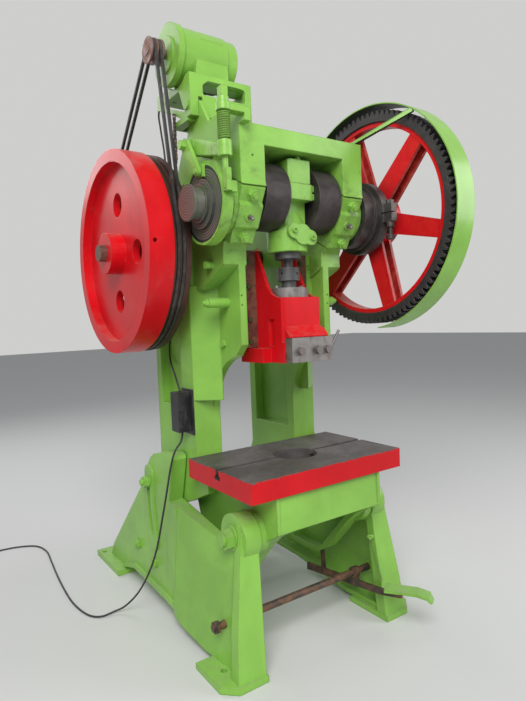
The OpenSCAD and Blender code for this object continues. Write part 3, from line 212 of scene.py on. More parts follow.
class Finish:
    """One material's node tree, built from expressions."""

    def __init__(self, name):
        self.material = bpy.data.materials.new(name)
        self.material.use_nodes = True
        self.tree = self.material.node_tree
        self.tree.nodes.clear()
        self._place = None

    def node(self, kind, settings=None, *values, out=0, **sockets):
        """Makes a node of that kind: settings first, then values or links by order or name."""
        made = self.tree.nodes.new(kind)
        for key, value in (settings or {}).items():
            setattr(made, key, value)
        for key, value in [*enumerate(values), *sockets.items()]:
            self._feed(self._socket(made, key), value)
        return Term(self, self._output(made, out))

    def _feed(self, socket, value):
        """Links a term to the socket, or sets the socket to a plain value."""
        if isinstance(value, Term):
            self.tree.links.new(value.socket, socket)
        elif socket.type == "RGBA" and len(value) == 3:
            socket.default_value = (*value, 1.0)
        else:
            socket.default_value = value

    @staticmethod
    def _socket(made, key):
        if isinstance(key, int):
            return made.inputs[key]
        found = [s for s in made.inputs if s.name == key and s.enabled]
        return found[0]

    @staticmethod
    def _output(made, out):
        shown = [s for s in made.outputs if s.enabled]
        return shown[out] if isinstance(out, int) else made.outputs[out]

    def place(self):
        if self._place is None:
            self._place = self.node("ShaderNodeTexCoord", out="Object")
        return self._place

    def axis(self, name):
        """One coordinate of the place on the object at rest: X, Y or Z."""
        return self.node("ShaderNodeSeparateXYZ", None, self.place(), out=name)

    def facing(self, name):
        geometry = self.node("ShaderNodeNewGeometry", out="Normal")
        return self.node("ShaderNodeSeparateXYZ", None, geometry, out=name)

    def stretch(self, scale):
        return self.node(
            "ShaderNodeMapping", None, Vector=self.place(), Scale=scale)

    def noise(self, scale, detail=4.0, rough=0.55, warp=0.0, stretch=None, seed=None):
        where = self.stretch(stretch) if stretch else self.place()
        settings = {"noise_dimensions": "4D"} if seed is not None else {}
        extra = {"W": seed} if seed is not None else {}
        return self.node(
            "ShaderNodeTexNoise", settings, Vector=where, Scale=scale, Detail=detail,
            Roughness=rough, Distortion=warp, **extra)

    def blend(self, amount, under, over):
        """Colour `over` laid on colour `under` by amount."""
        return self.node(
            "ShaderNodeMix", {"data_type": "RGBA", "blend_type": "MIX", "clamp_factor": True},
            Factor=amount, A=under, B=over)

    def edge(self, radius):
        """About 1 along sharp edges and 0 on plain faces."""
        soft = self.node("ShaderNodeBevel", {"samples": 4}, Radius=radius)
        plain = self.node("ShaderNodeNewGeometry", out="Normal")
        same = self.node("ShaderNodeVectorMath", {"operation": "DOT_PRODUCT"}, soft, plain,
                         out="Value")
        return (1 - same) * 4.0

    def rounded(self, radius):
        return self.node("ShaderNodeBevel", {"samples": 4}, Radius=radius)

    def bump(self, height, strength, distance, normal=None):
        links = {"Height": height, "Strength": strength, "Distance": distance}
        if normal is not None:
            links["Normal"] = normal
        return self.node("ShaderNodeBump", None, **links)

    def surface(self, colour, rough, metal=0.0, normal=None, **fixed):
        """Ends the tree in a Principled shader; fixed values go on its own sockets."""
        made = self.tree.nodes.new("ShaderNodeBsdfPrincipled")
        varying = {"Base Color": colour, "Roughness": rough, "Metallic": metal, "Normal": normal}
        for key, value in {**varying, **fixed}.items():
            if value is not None:
                self._feed(made.inputs[key], value)
        end = self.tree.nodes.new("ShaderNodeOutputMaterial")
        self.tree.links.new(made.outputs[0], end.inputs["Surface"])
        return self.material


DUST = (0.30, 0.27, 0.22)
PRIMER = (0.10, 0.075, 0.06)
OIL_AND_SHADE = (0.028, 0.024, 0.018)
GLOSS = {"Specular IOR Level": 0.35, "Coat Weight": 0.12, "Coat Roughness": 0.15}
RED_GLOSS = {"Specular IOR Level": 0.20, "Coat Weight": 0.05, "Coat Roughness": 0.15}


def radius_about(sheet, y, z):
    """Distance from a shaft that lies along X."""
    dy = sheet.axis("Y") - y
    dz = sheet.axis("Z") - z
    return (dy * dy + dz * dz) ** 0.5


def radius_about_z(sheet, x, y):
    """Distance from an upright axis."""
    dx = sheet.axis("X") - x
    dy = sheet.axis("Y") - y
    return (dx * dx + dy * dy) ** 0.5


def enamel(sheet, colour, paint, seed, wear=1.0, grime_and_shade=None):
    """Brushed enamel: colour, roughness, metal and height of a painted casting."""
    deep = tuple(c * 0.80 for c in colour)
    pale = tuple(min(1.0, c * 1.10 + 0.004) for c in colour)
    broad = sheet.noise(3.0, 4, 0.6, 0.6, seed=seed)
    streaks = sheet.noise(7.0, 5, 0.6, 0.3, stretch=(1, 1, 0.16), seed=seed + 3)
    tone = sheet.blend(broad.above(0.35, 0.7), deep, colour)
    tone = sheet.blend(streaks.above(0.5, 0.8) * 0.55, tone, pale)
    # Dirt in the low, sheltered faces and old oil runs down the sides.
    runs = sheet.noise(10.0, 6, 0.65, 0.4, stretch=(1, 1, 0.07), seed=seed + 7)
    soiled = runs.above(0.60, 0.78) * (1 - sheet.facing("Z").size()) * 0.34
    tone = sheet.blend(soiled, tone, tuple(c * 0.34 + 0.008 for c in colour))
    specks = sheet.noise(55.0, 6, 0.7, 0.0, seed=seed + 9).above(0.66, 0.74)
    tone = sheet.blend(specks * 0.22, tone, OIL_AND_SHADE)
    lying = sheet.facing("Z").above(0.55, 0.95)
    patchy = sheet.noise(16.0, 6, 0.7, 0.5, seed=seed + 11).above(0.36, 0.72)
    dusty = lying * patchy * (paint.dust * 1.5)
    tone = sheet.blend(dusty, tone, DUST)
    # Paint is gone along rubbed edges and in small chips.
    ragged = sheet.noise(38.0, 6, 0.7, 0.3, seed=seed + 5)
    rubbed = (sheet.edge(0.0035) * ragged.above(0.42, 0.60)).above(
        0.62 - 0.42 * paint.edge_wear * wear, 0.80)
    spot = sheet.noise(24.0, 5, 0.75, 0.2, seed=seed + 13)
    zone = sheet.noise(2.3, 3, 0.6, 0.0, seed=seed + 17).above(0.47, 0.62)
    chipped = spot.above(0.735 - 0.05 * paint.chips, 0.755 - 0.05 * paint.chips) * zone
    gone = rubbed.most(chipped)
    # Grime, and painted shade where the mask carries it, darkens the tone toward near-black.
    if grime_and_shade is not None:
        tone = sheet.blend(grime_and_shade, tone, OIL_AND_SHADE)
    rust = sheet.blend(sheet.noise(60.0, 4, 0.6, seed=seed + 19), PRIMER, (0.19, 0.10, 0.055))
    tone = sheet.blend(gone, tone, rust)
    dull = dusty.most(gone)
    if grime_and_shade is not None:
        dull = dull.most(grime_and_shade * 0.5)
    rough = 0.24 + 0.16 * broad + 0.46 * dull
    lumps = sheet.noise(26.0, 3, 0.5, seed=seed + 23) * 0.62
    brush = sheet.noise(220.0, 3, 0.6, 0.0, stretch=(1, 1, 0.35), seed=seed + 29) * 0.10
    height = lumps + brush - gone * 0.25
    return tone, rough, gone, height


def painted(name, colour, paint, seed, wear=1.0, rounding=0.004, grime_and_shade=None, lumps=0.0011,
            gloss=GLOSS):
    sheet = Finish(name)
    dirt_and_shade = grime_and_shade(sheet) if grime_and_shade else None
    tone, rough, gone, height = enamel(sheet, colour, paint, seed, wear, dirt_and_shade)
    normal = sheet.bump(height, 0.55, lumps, sheet.rounded(rounding))
    return sheet.surface(tone, rough, normal=normal, **gloss)


def greasy(name, metal, seed, tint=None, wet=0.5, over=None):
    """Dark machined steel with old grease, rubbed bright along its edges."""
    sheet = Finish(name)
    base = tuple(tint or metal.grease)
    broad = sheet.noise(9.0, 5, 0.6, 0.8, seed=seed)
    fine = sheet.noise(70.0, 5, 0.7, 0.2, seed=seed + 2)
    tone = sheet.blend(broad.above(0.35, 0.7), base, tuple(c * 1.9 + 0.012 for c in base))
    tone = sheet.blend(fine.above(0.55, 0.75) * 0.6, tone, tuple(c * 0.4 for c in base))
    tone = sheet.blend(sheet.noise(20.0, 6, 0.7, 0.6, seed=seed + 4).above(0.56, 0.72) * 0.5,
                       tone, (0.085, 0.052, 0.030))
    rub = sheet.edge(0.0025) * sheet.noise(45.0, 4, 0.6, seed=seed + 6)
    tone = sheet.blend(rub.above(0.28, 0.6) * 0.7, tone, (0.24, 0.22, 0.21))
    if over:
        tone = over(sheet, tone)
    rough = 0.36 + 0.30 * fine + 0.14 * broad - wet * 0.16
    height = fine * 0.5 + broad * 0.5
    return sheet.surface(tone, rough, 0.55,
                         sheet.bump(height, 0.45, 0.0006, sheet.rounded(0.002)))


def rusty(name, metal, seed, base=(0.075, 0.060, 0.052), amount=0.55):
    sheet = Finish(name)
    patch = sheet.noise(22.0, 7, 0.72, 0.7, seed=seed)
    fine = sheet.noise(130.0, 5, 0.7, 0.0, seed=seed + 1)
    rust = sheet.blend(fine, tuple(metal.rust), tuple(c * 1.8 for c in metal.rust))
    covered = patch.above(0.62 - 0.35 * amount, 0.80 - 0.28 * amount)
    tone = sheet.blend(covered, base, rust)
    rub = (sheet.edge(0.002) * sheet.noise(60.0, 4, 0.6, seed=seed + 5)).above(0.3, 0.6)
    tone = sheet.blend(rub * 0.6, tone, (0.26, 0.235, 0.22))
    rough = 0.46 + 0.34 * covered
    height = fine * 0.5 + patch * 0.5
    return sheet.surface(tone, rough, 0.5 - 0.42 * covered,
                         sheet.bump(height, 0.5, 0.0007, sheet.rounded(0.0015)))


def bare_steel(name, metal, seed):
    """Machined steel with tool marks, stains and light rust."""
    sheet = Finish(name)
    marks = sheet.noise(160.0, 4, 0.6, 0.0, stretch=(1, 1, 0.08), seed=seed)
    stain = sheet.noise(11.0, 6, 0.65, 0.7, seed=seed + 1)
    tone = sheet.blend(marks, tuple(c * 0.62 for c in metal.bare), tuple(metal.bare))
    tone = sheet.blend(stain.above(0.5, 0.7) * 0.7, tone, (0.115, 0.085, 0.065))
    freckle = sheet.noise(85.0, 5, 0.7, seed=seed + 3).above(0.62, 0.72)
    tone = sheet.blend(freckle * 0.7, tone, tuple(metal.rust))
    rough = 0.34 + 0.22 * marks + 0.3 * freckle
    return sheet.surface(tone, rough, 0.8 - 0.6 * freckle,
                         sheet.bump(marks * 0.6 + stain * 0.4, 0.35, 0.0004,
                                    sheet.rounded(0.0015)))


def bearing_bronze(name):
    sheet = Finish(name)
    film = sheet.noise(30.0, 5, 0.6, 0.5)
    tone = sheet.blend(film, (0.20, 0.115, 0.045), (0.42, 0.26, 0.10))
    return sheet.surface(tone, 0.32 + 0.25 * film, 0.85,
                         sheet.bump(film, 0.3, 0.0003, sheet.rounded(0.001)))


def rubber(name, grain=240.0, dusty=0.4):
    sheet = Finish(name)
    fine = sheet.noise(grain, 4, 0.6)
    film = sheet.noise(14.0, 5, 0.65, 0.6).above(0.42, 0.78)
    tone = sheet.blend(film * dusty, (0.018, 0.018, 0.018), (0.13, 0.115, 0.10))
    return sheet.surface(tone, 0.55 + 0.25 * film, 0.0, sheet.bump(fine, 0.35, 0.0003))


def moulded(name):
    """Black moulded housing of the switch, grimy from use."""
    sheet = Finish(name)
    grain = sheet.noise(420.0, 3, 0.5)
    film = sheet.noise(19.0, 6, 0.7, 0.8).above(0.45, 0.75)
    tone = sheet.blend(film * 0.55, (0.012, 0.012, 0.014), (0.095, 0.085, 0.075))
    return sheet.surface(tone, 0.36 + 0.34 * film, 0.0,
                         sheet.bump(grain, 0.3, 0.0002, sheet.rounded(0.003)))


# Two finishes on one casting, parted by place


def gear_finish(paint):
    """Red arms and hub inside a dark, greasy toothed rim."""
    sheet = Finish("bull_gear_finish")
    out = radius_about(sheet, SEAT_Y, CRANK_Z)
    ragged = sheet.noise(30.0, 5, 0.7, seed=1.0) * 0.012
    rim = (out + ragged).above(GEAR_RIM_IN + 0.004, GEAR_RIM_IN + 0.010)
    tone, rough, _, height = enamel(sheet, tuple(paint.red), paint, 41.0, 1.1)
    # The arms' recess is blended toward dark red and rust brown: rust, and painted shade in the
    # groove.
    recess = (sheet.axis("X") - GEAR_X).size().below(0.030, 0.037) * out.above(0.13, 0.15)
    rust_patches = sheet.noise(26.0, 6, 0.7, 0.5, seed=9.0)
    grime_and_shade = sheet.blend(rust_patches.above(0.4, 0.7), (0.060, 0.016, 0.014), (0.34, 0.120, 0.060))
    tone = sheet.blend(recess * 0.55, tone, grime_and_shade)
    dark = sheet.noise(14.0, 6, 0.65, 0.6, seed=2.0)
    greased = sheet.blend(dark, (0.020, 0.018, 0.019), (0.105, 0.095, 0.100))
    worn = sheet.edge(0.002).above(0.3, 0.8)
    greased = sheet.blend(worn * 0.5, greased, (0.22, 0.20, 0.19))
    tone = sheet.blend(rim, tone, greased)
    soot = (out.above(0.10, 0.125) * out.below(0.15, 0.26)) * 0.35
    tone = sheet.blend(soot * sheet.noise(12.0, 5, 0.6, seed=4.0), tone, OIL_AND_SHADE)
    rough = rough * (1 - rim) + (0.42 + 0.2 * dark) * rim
    return sheet.surface(tone, rough, rim * 0.5,
                         sheet.bump(height, 0.5, 0.0009, sheet.rounded(0.004)), **RED_GLOSS)


def flywheel_finish(paint):
    """Red face and rim; the belt grooves are rubbed dark."""
    sheet = Finish("flywheel_finish")
    out = radius_about(sheet, SHAFT_Y, SHAFT_Z)
    grooves = (sheet.axis("X").above(GROOVES_X, GROOVES_X + 0.003)
               * out.above(GROOVES_R, GROOVES_R + 0.007))
    tone, rough, _, height = enamel(sheet, tuple(paint.red), paint, 61.0, 0.9)
    # Grey scuffs across the dished face, in the way of the turning.
    scuffs = sheet.noise(5.0, 7, 0.7, 1.2, seed=3.0).above(0.52, 0.68)
    tone = sheet.blend(scuffs * 0.14, tone, (0.42, 0.16, 0.15))
    dark = sheet.noise(24.0, 6, 0.7, 0.4, seed=5.0)
    rubbed = sheet.blend(dark, (0.035, 0.022, 0.020), (0.13, 0.062, 0.048))
    tone = sheet.blend(grooves, tone, rubbed)
    rough = rough + grooves * 0.12
    return sheet.surface(tone, rough, grooves * 0.45,
                         sheet.bump(height, 0.45, 0.0009, sheet.rounded(0.004)), **RED_GLOSS)


def bolster_finish(paint):
    """Red sides under a bare top, rusty and scratched from dies."""
    sheet = Finish("bolster_finish")
    up = sheet.facing("Z").above(0.5, 0.7)
    inside = radius_about_z(sheet, 0.0, SEAT_Y).below(DIE_HOLE_R + 0.0005, DIE_HOLE_R + 0.0015)
    across = (sheet.axis("Y") - SEAT_Y).size().below(SLOT_HEAD_HALF + 0.0005,
                                                     SLOT_HEAD_HALF + 0.001)
    slot = across * sheet.axis("X").size().below(TABLE_HALF_W - 0.0015, TABLE_HALF_W - 0.0008)
    bare = up.most(inside).most(slot)
    nibble = sheet.noise(60.0, 6, 0.75, 0.6, seed=1.0)
    lip = sheet.axis("Z").above(TABLE_Z - 0.012, TABLE_Z) * nibble.above(0.45, 0.6)
    bare = bare.most(lip.above(0.45, 0.6))
    tone, rough, _, height = enamel(sheet, tuple(c * 0.90 for c in paint.red), paint, 83.0, 1.1)
    wide = sheet.noise(4.0, 6, 0.7, 1.0, seed=6.0)
    fine = sheet.noise(48.0, 7, 0.75, 0.3, seed=7.0)
    steel = sheet.blend(wide.above(0.35, 0.7), (0.085, 0.074, 0.072), (0.165, 0.150, 0.148))
    steel = sheet.blend(fine.above(0.52, 0.7) * 0.8, steel, (0.105, 0.066, 0.050))
    scores = sheet.noise(9.0, 3, 0.5, 0.3, stretch=(1.0, 34.0, 1.0), seed=8.0).above(0.70, 0.74)
    steel = sheet.blend(scores * 0.7, steel, (0.30, 0.285, 0.28))
    tone = sheet.blend(bare, tone, steel)
    rough = rough * (1 - bare) + (0.44 + 0.24 * fine) * bare
    lay = height * (1 - bare) + (fine * 0.5 - scores * 0.5) * bare
    return sheet.surface(tone, rough, bare * 0.55,
                         sheet.bump(lay, 0.5, 0.0008, sheet.rounded(0.003)), **RED_GLOSS)


def turned_end(sheet, tone):
    """Turned rings on the crank's open left end, smeared with the castings' paint."""
    out = radius_about(sheet, SEAT_Y, CRANK_Z)
    uneven = sheet.noise(9.0, 5, 0.6, seed=51.0) * 0.004
    rings = ((out + uneven) * RING_PITCH).wave()
    steel = sheet.blend(rings, (0.085, 0.084, 0.076), (0.230, 0.228, 0.200))
    smear = sheet.noise(26.0, 6, 0.7, 0.8, seed=53.0).above(0.50, 0.66)
    steel = sheet.blend(smear * 0.75, steel, (0.105, 0.190, 0.060))
    return sheet.blend(sheet.axis("X").below(-0.40, -0.37), tone, steel)


def gib_bolt_rust(sheet):
    """Dark bolts on the gibs; the screws farther out stay green."""
    return sheet.axis("X").size().below(0.174, 0.178) * 0.88


def inner_grease_and_shade(sheet):
    """Black grease that the teeth throw on the inside of the guard, with painted shade: the
    inward-facing side is darkened almost to black.
    """
    dy = sheet.axis("Y") - SEAT_Y
    dz = sheet.axis("Z") - CRANK_Z
    inward = -1 * (sheet.facing("Y") * dy + sheet.facing("Z") * dz)
    return inward.above(0.05, 0.2) * (0.90 + 0.1 * sheet.noise(12.0, 4, 0.6, seed=33.0))


def oil_near_crank(sheet):
    """Old oil thrown round the crank bearings, under the head and down the throat."""
    out = radius_about(sheet, SEAT_Y, CRANK_Z)
    near = out.below(0.14, 0.42)
    patch = sheet.noise(8.0, 6, 0.7, 1.0, seed=31.0).above(0.48, 0.74)
    return near * patch * 0.55


# Pieces


def dress(nodes, material):
    """Gives CAD nodes a material of their own."""
    for name in nodes:
        shown = bpy.data.objects[name] if name in bpy.data.objects else None
        if shown is None:
            raise RuntimeError(f"the frame has no node {name}")
        if not shown.material_slots:
            shown.data.materials.append(None)
        for held in shown.material_slots:
            held.link = "OBJECT"
            held.material = material


def smooth_route(points, steps):
    """A Catmull-Rom line through the points, as the CAD cords have it."""
    last = len(points) - 1
    line = []
    for i in range(last):
        a, b = points[max(i - 1, 0)], points[i]
        c, d = points[i + 1], points[min(i + 2, last)]
        for k in range(steps):
            f = k / steps
            line.append(0.5 * (2 * b + (c - a) * f + (2 * a - 5 * b + 4 * c - d) * f * f
                               + (3 * b - a - 3 * c + d) * f ** 3))
    return [*line, points[-1]]


def tube(name, line, diameter, material):
    """A round cord, swept along a line of points."""
    data = bpy.data.curves.new(name, "CURVE")
    data.dimensions = "3D"
    data.bevel_depth = diameter / 2
    data.bevel_resolution = 2
    data.use_fill_caps = True
    spline = data.splines.new("POLY")
    spline.points.add(len(line) - 1)
    for point, at in zip(spline.points, line):
        point.co = (*at, 1.0)
    data.materials.append(material)
    made = bpy.data.objects.new(name, data)
    bpy.context.scene.collection.objects.link(made)
    return made


def length_of(line):
    return sum((b - a).length for a, b in zip(line, line[1:]))


def coil_line(start, turns):
    """The unseen length: flat turns going in, and a second layer going out again."""
    centre = Vector((*COIL_CENTRE, 0))
    first = math.atan2(start.y - centre.y, start.x - centre.x)
    steps = 28
    outer = COIL_MID_R + COIL_PITCH
    line = []
    for k in range(steps * turns + 1):
        turn = k / steps
        line.append((outer - turn * COIL_PITCH * 2 / turns, first - 2 * math.pi * turn, LIE_Z))
    for k in range(1, steps * turns + 1):
        turn = k / steps
        rise = LIE_Z + LAYER_RISE * min(1.0, turn * 2)
        line.append((outer - COIL_PITCH * 2 + turn * COIL_PITCH * 2 / turns,
                     first - 2 * math.pi * (turns + turn), rise))
    return [metres((centre.x + r * math.cos(a), centre.y + r * math.sin(a), z))
            for r, a, z in line]


class PRESS_OT_cords(bpy.types.Operator):
    """Lays the supply cord with its coil, and clips the motor lead to the column"""

    bl_idname = "press.cords"
    bl_label = "Cords"

    def execute(self, context):
        settings = context.scene.press_cords
        sheath = rubber("cord_sheath", 300.0, 0.3)
        route = smooth_route([metres(p) for p in CORD_ROUTE], 4)
        start = Vector(CORD_ROUTE[-1])
        line = route + coil_line(start, settings.coil_turns)
        cord = tube("supply_cord_sheath", line, settings.diameter, sheath)
        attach(cord, "stand")
        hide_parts("supply_cord", "supply_coil")
        round(length_of(line), 3)
        lead_line = smooth_route([metres(p) for p in LEAD_ROUTE], 5)
        lead = tube("motor_lead_sheath", lead_line, settings.diameter, sheath)
        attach(lead, "frame")
        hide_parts("motor_lead")
        return {"FINISHED"}


class PRESS_OT_castings(bpy.types.Operator):
    """Paints the legs, the frame and the other green castings"""

    bl_idname = "press.castings"
    bl_label = "Castings"

    def execute(self, context):
        paint = context.scene.press_paint
        lime = tuple(paint.lime)
        dress(["left_leg", "right_leg"],
              painted("leg_enamel", lime, paint, 5.0, rounding=0.007))
        dress(["frame_casting"],
              painted("frame_enamel", lime, paint, 11.0, rounding=0.007, grime_and_shade=oil_near_crank))
        dress(["bearing_cap_left", "bearing_cap_right"],
              painted("cap_enamel", lime, paint, 17.0, 1.2, 0.006, grime_and_shade=oil_near_crank))
        dress(["conrod", "conrod_cap", "conrod_cover"],
              painted("conrod_enamel", lime, paint, 23.0, 1.3, 0.007, grime_and_shade=oil_near_crank))
        dress(["motor_platform", "hinge_rod"],
              painted("platform_enamel", lime, paint, 29.0, rounding=0.005))
        # The guard's inward-facing side goes almost black: grease and painted shade.
        dress(["gear_guard", "guard_stay"],
              painted("guard_enamel", lime, paint, 31.0, 0.9, 0.0015, inner_grease_and_shade, 0.0004))
        return {"FINISHED"}


class PRESS_OT_small_green(bpy.types.Operator):
    """Paints the nuts, studs, tie rods, brake levers and springs that were brushed green too"""

    bl_idname = "press.small_green"
    bl_label = "Fastenings and brake"

    def execute(self, context):
        paint = context.scene.press_paint
        lime = tuple(paint.lime)
        dress(["gib_screws"], painted("gib_screw_enamel", lime, paint, 39.0, 1.6, 0.0015,
                                      grime_and_shade=gib_bolt_rust, lumps=0.0005))
        dress(["cap_studs", "slot_bolts", "pivot_bolts", "rear_tie_rods"],
              painted("nut_enamel", lime, paint, 37.0, 1.6, 0.0015, lumps=0.0005))
        dress(["brake_strap", "brake_lever", "brake_link", "brake_bolt"],
              painted("brake_enamel", lime, paint, 43.0, 1.4, 0.003, grime_and_shade=oil_near_crank))
        dress(["brake_spring", "pedal_spring"],
              painted("spring_enamel", tuple(c * 0.7 for c in lime), paint, 47.0, 1.6, 0.0006,
                      lumps=0.0003))
        return {"FINISHED"}


class PRESS_OT_red_masses(bpy.types.Operator):
    """Paints the flywheel, the bull gear and the ram"""

    bl_idname = "press.red_masses"
    bl_label = "Flywheel, gear and ram"

    def execute(self, context):
        paint = context.scene.press_paint
        dress(["flywheel"], flywheel_finish(paint))
        dress(["bull_gear"], gear_finish(paint))
        dress(["ram"], painted("ram_enamel", tuple(paint.red), paint, 53.0, 1.2, 0.005,
                               gloss=RED_GLOSS))
        return {"FINISHED"}


class PRESS_OT_bolster(bpy.types.Operator):
    """Finishes the bolster plate: red sides and a bare, marked top"""

    bl_idname = "press.bolster"
    bl_label = "Bolster plate"

    def execute(self, context):
        dress(["bolster_plate"], bolster_finish(context.scene.press_paint))
        return {"FINISHED"}


class PRESS_OT_drive(bpy.types.Operator):
    """Greases the crankshaft, clutch, drum, pinion and adjusting screw"""

    bl_idname = "press.drive"
    bl_label = "Drive"

    def execute(self, context):
        metal = context.scene.press_metal
        dress(["crankshaft"], greasy("crank_grease", metal, 3.0, wet=0.9, over=turned_end))
        dress(["clutch_body", "clutch_collar"],
              greasy("clutch_grease", metal, 8.0, (0.050, 0.044, 0.042)))
        dress(["brake_drum"], greasy("drum_grease", metal, 10.0, (0.120, 0.114, 0.108), 0.5,
                                     over=turned_end))
        dress(["pinion"], greasy("pinion_grease", metal, 13.0, (0.045, 0.036, 0.030)))
        dress(["ball_screw", "lock_collar"],
              greasy("screw_grease", metal, 19.0, (0.075, 0.073, 0.075), 0.6))
        dress(["brake_lining"], rubber("lining", 90.0, 0.7))
        dress(["bearing_bushes", "shaft_bearings", "gear_bush"], bearing_bronze("bronze"))
        return {"FINISHED"}


class PRESS_OT_bare_parts(bpy.types.Operator):
    """Finishes the bare and rusty steel pieces"""

    bl_idname = "press.bare_parts"
    bl_label = "Bare steel"

    def execute(self, context):
        metal = context.scene.press_metal
        dress(["ball_cap", "shank_clamp", "grease_fittings"], bare_steel("block_steel", metal, 2.0))
        dress(["back_shaft"], rusty("shaft_rust", metal, 5.0, (0.14, 0.075, 0.060), 0.5))
        dress(["gib_left", "gib_right"], rusty("strip_rust", metal, 7.0, (0.14, 0.062, 0.054), 0.6))
        dress(["clamp_bolts"], rusty("clamp_bolt_steel", metal, 11.0, (0.17, 0.155, 0.15), 0.15))
        dress(["jack_screws"], rusty("bolt_rust", metal, 9.0, amount=0.7))
        dress(["treadle_rod", "treadle_bar", "trip_rod"],
              rusty("rod_rust", metal, 15.0, amount=0.6))
        dress(["motor_pulley"], rusty("pulley_rust", metal, 21.0, (0.24, 0.15, 0.15), 0.5))
        return {"FINISHED"}


class PRESS_OT_motor(bpy.types.Operator):
    """Paints the motor and blackens the belts"""

    bl_idname = "press.motor"
    bl_label = "Motor and belts"

    def execute(self, context):
        paint = context.scene.press_paint
        dress(["motor_body", "motor_end_shields", "terminal_box"],
              painted("motor_enamel", tuple(paint.lime), paint, 59.0, 0.8, 0.005, lumps=0.0006))
        dress(["v_belts"], rubber("belt_rubber", 180.0, 0.5))
        return {"FINISHED"}


class PRESS_OT_treadle(bpy.types.Operator):
    """Paints the foot pedal"""

    bl_idname = "press.treadle"
    bl_label = "Pedal"

    def execute(self, context):
        paint = context.scene.press_paint
        dress(["foot_pedal"], painted("pedal_enamel", tuple(paint.lime), paint, 67.0, 1.9, 0.002,
                                      lumps=0.0006))
        return {"FINISHED"}


class PRESS_OT_switch(bpy.types.Operator):
    """Finishes the switch housing and the hanging chain"""

    bl_idname = "press.switch"
    bl_label = "Switch and chain"

    def execute(self, context):
        dress(["switch_box"], moulded("switch_moulding"))
        dress(["hanging_chain"], rusty("chain_rust", context.scene.press_metal, 27.0, amount=0.5))
        return {"FINISHED"}


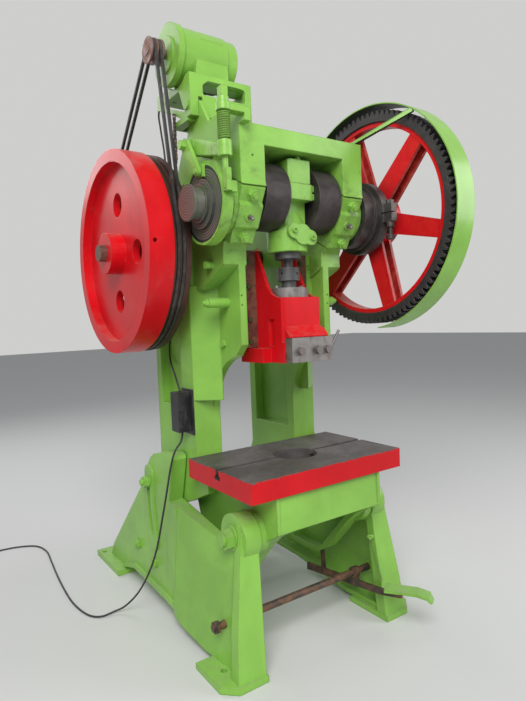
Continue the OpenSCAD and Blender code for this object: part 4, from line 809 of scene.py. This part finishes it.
class PRESS_OT_stage(bpy.types.Operator):
    """Sets the floor, the soft lights and the camera"""

    bl_idname = "press.stage"
    bl_label = "Stage"

    def execute(self, context):
        stage = context.scene.press_stage
        self.lay_floor(stage)
        self.hang_lights(context, stage)
        self.place_camera(context)
        context.scene.view_settings.view_transform = "Standard"
        return {"FINISHED"}

    def lay_floor(self, stage):
        sheet = Finish("studio_floor")
        faint = sheet.noise(1.3, 3, 0.5)
        tone = sheet.blend(faint * 0.3, tuple(stage.floor), tuple(c * 0.95 for c in stage.floor))
        material = sheet.surface(tone, 0.9)
        mesh = bpy.data.meshes.new("studio_floor")
        made = bmesh.new()
        bmesh.ops.create_grid(made, x_segments=8, y_segments=8, size=30)
        made.to_mesh(mesh)
        made.free()
        mesh.materials.append(material)
        floor = bpy.data.objects.new("studio_floor", mesh)
        floor.location = (0, 0, -0.0005)
        bpy.context.scene.collection.objects.link(floor)

    def hang_lights(self, context, stage):
        world = bpy.data.worlds.new("studio")
        context.scene.world = world
        world.use_nodes = True
        tree = world.node_tree
        tree.nodes.clear()
        path = tree.nodes.new("ShaderNodeLightPath")
        shows = path.outputs["Is Camera Ray"]
        for kind in ("Is Glossy Ray", "Is Transmission Ray"):
            either = tree.nodes.new("ShaderNodeMath")
            either.operation = "MAXIMUM"
            tree.links.new(shows, either.inputs[0])
            tree.links.new(path.outputs[kind], either.inputs[1])
            shows = either.outputs[0]
        seen = tree.nodes.new("ShaderNodeBackground")
        seen.inputs["Color"].default_value = (*stage.floor, 1)
        seen.inputs["Strength"].default_value = 1.0
        light = tree.nodes.new("ShaderNodeBackground")
        light.inputs["Color"].default_value = (0.93, 0.96, 1.0, 1)
        light.inputs["Strength"].default_value = stage.sky
        mix = tree.nodes.new("ShaderNodeMixShader")
        end = tree.nodes.new("ShaderNodeOutputWorld")
        tree.links.new(shows, mix.inputs[0])
        tree.links.new(light.outputs[0], mix.inputs[1])
        tree.links.new(seen.outputs[0], mix.inputs[2])
        tree.links.new(mix.outputs[0], end.inputs[0])
        for name, place, aim, size, share in LAMPS:
            lamp = bpy.data.lights.new(name, "AREA")
            lamp.shape = "SQUARE"
            lamp.size = size
            lamp.energy = stage.key_power * share
            held = bpy.data.objects.new(name, lamp)
            held.location = place
            held.rotation_euler = (Vector(aim) - Vector(place)).to_track_quat("-Z", "Y").to_euler()
            context.scene.collection.objects.link(held)

    def place_camera(self, context):
        """The photograph's view: eye height 1.4 m, turned 34.6 degrees to the right."""
        lens = bpy.data.cameras.new("press_view")
        lens.sensor_fit = "VERTICAL"
        lens.sensor_height = SENSOR_HIGH
        lens.lens = FOCAL_PX / PICTURE_HIGH_PX * SENSOR_HIGH
        lens.clip_end = 100
        camera = bpy.data.objects.new("press_view", lens)
        turn = (Euler((0, 0, math.radians(VIEW_TURN))).to_matrix()
                @ Euler((math.radians(90 + VIEW_TILT), 0, 0)).to_matrix()
                @ Euler((0, 0, math.radians(VIEW_ROLL))).to_matrix())
        camera.matrix_world = Matrix.Translation(EYE) @ turn.to_4x4()
        context.scene.collection.objects.link(camera)
        context.scene.camera = camera


GROUPS = {"press_paint": PressPaint, "press_metal": PressMetal, "press_cords": PressCords,
          "press_stage": PressStage}
STEPS = (PRESS_OT_stage, PRESS_OT_cords, PRESS_OT_castings, PRESS_OT_small_green,
         PRESS_OT_red_masses, PRESS_OT_bolster, PRESS_OT_drive, PRESS_OT_bare_parts,
         PRESS_OT_motor, PRESS_OT_treadle, PRESS_OT_switch)


class PRESS_PT_sidebar(bpy.types.Panel):
    """Settings of the press and its steps"""

    bl_idname = "PRESS_PT_sidebar"
    bl_label = "Stamping press"
    bl_space_type = "VIEW_3D"
    bl_region_type = "UI"
    bl_category = "Press"

    def draw(self, context):
        for name, group in GROUPS.items():
            box = self.layout.box()
            for key in group.__annotations__:
                box.prop(getattr(context.scene, name), key)
        for step in STEPS:
            self.layout.operator(step.bl_idname)


def register():
    for item in (*GROUPS.values(), *STEPS, PRESS_PT_sidebar):
        bpy.utils.register_class(item)
    for name, group in GROUPS.items():
        setattr(bpy.types.Scene, name, bpy.props.PointerProperty(type=group))


def unregister():
    for name in GROUPS:
        delattr(bpy.types.Scene, name)
    for item in (PRESS_PT_sidebar, *reversed(STEPS), *GROUPS.values()):
        bpy.utils.unregister_class(item)


def plain(bounds):
    return [[float(v) for v in corner] for corner in bounds]


def main():
    register()
    for step in STEPS:
        family, name = step.bl_idname.split(".")
        getattr(getattr(bpy.ops, family), name)()


if __name__ == "__main__":
    main()
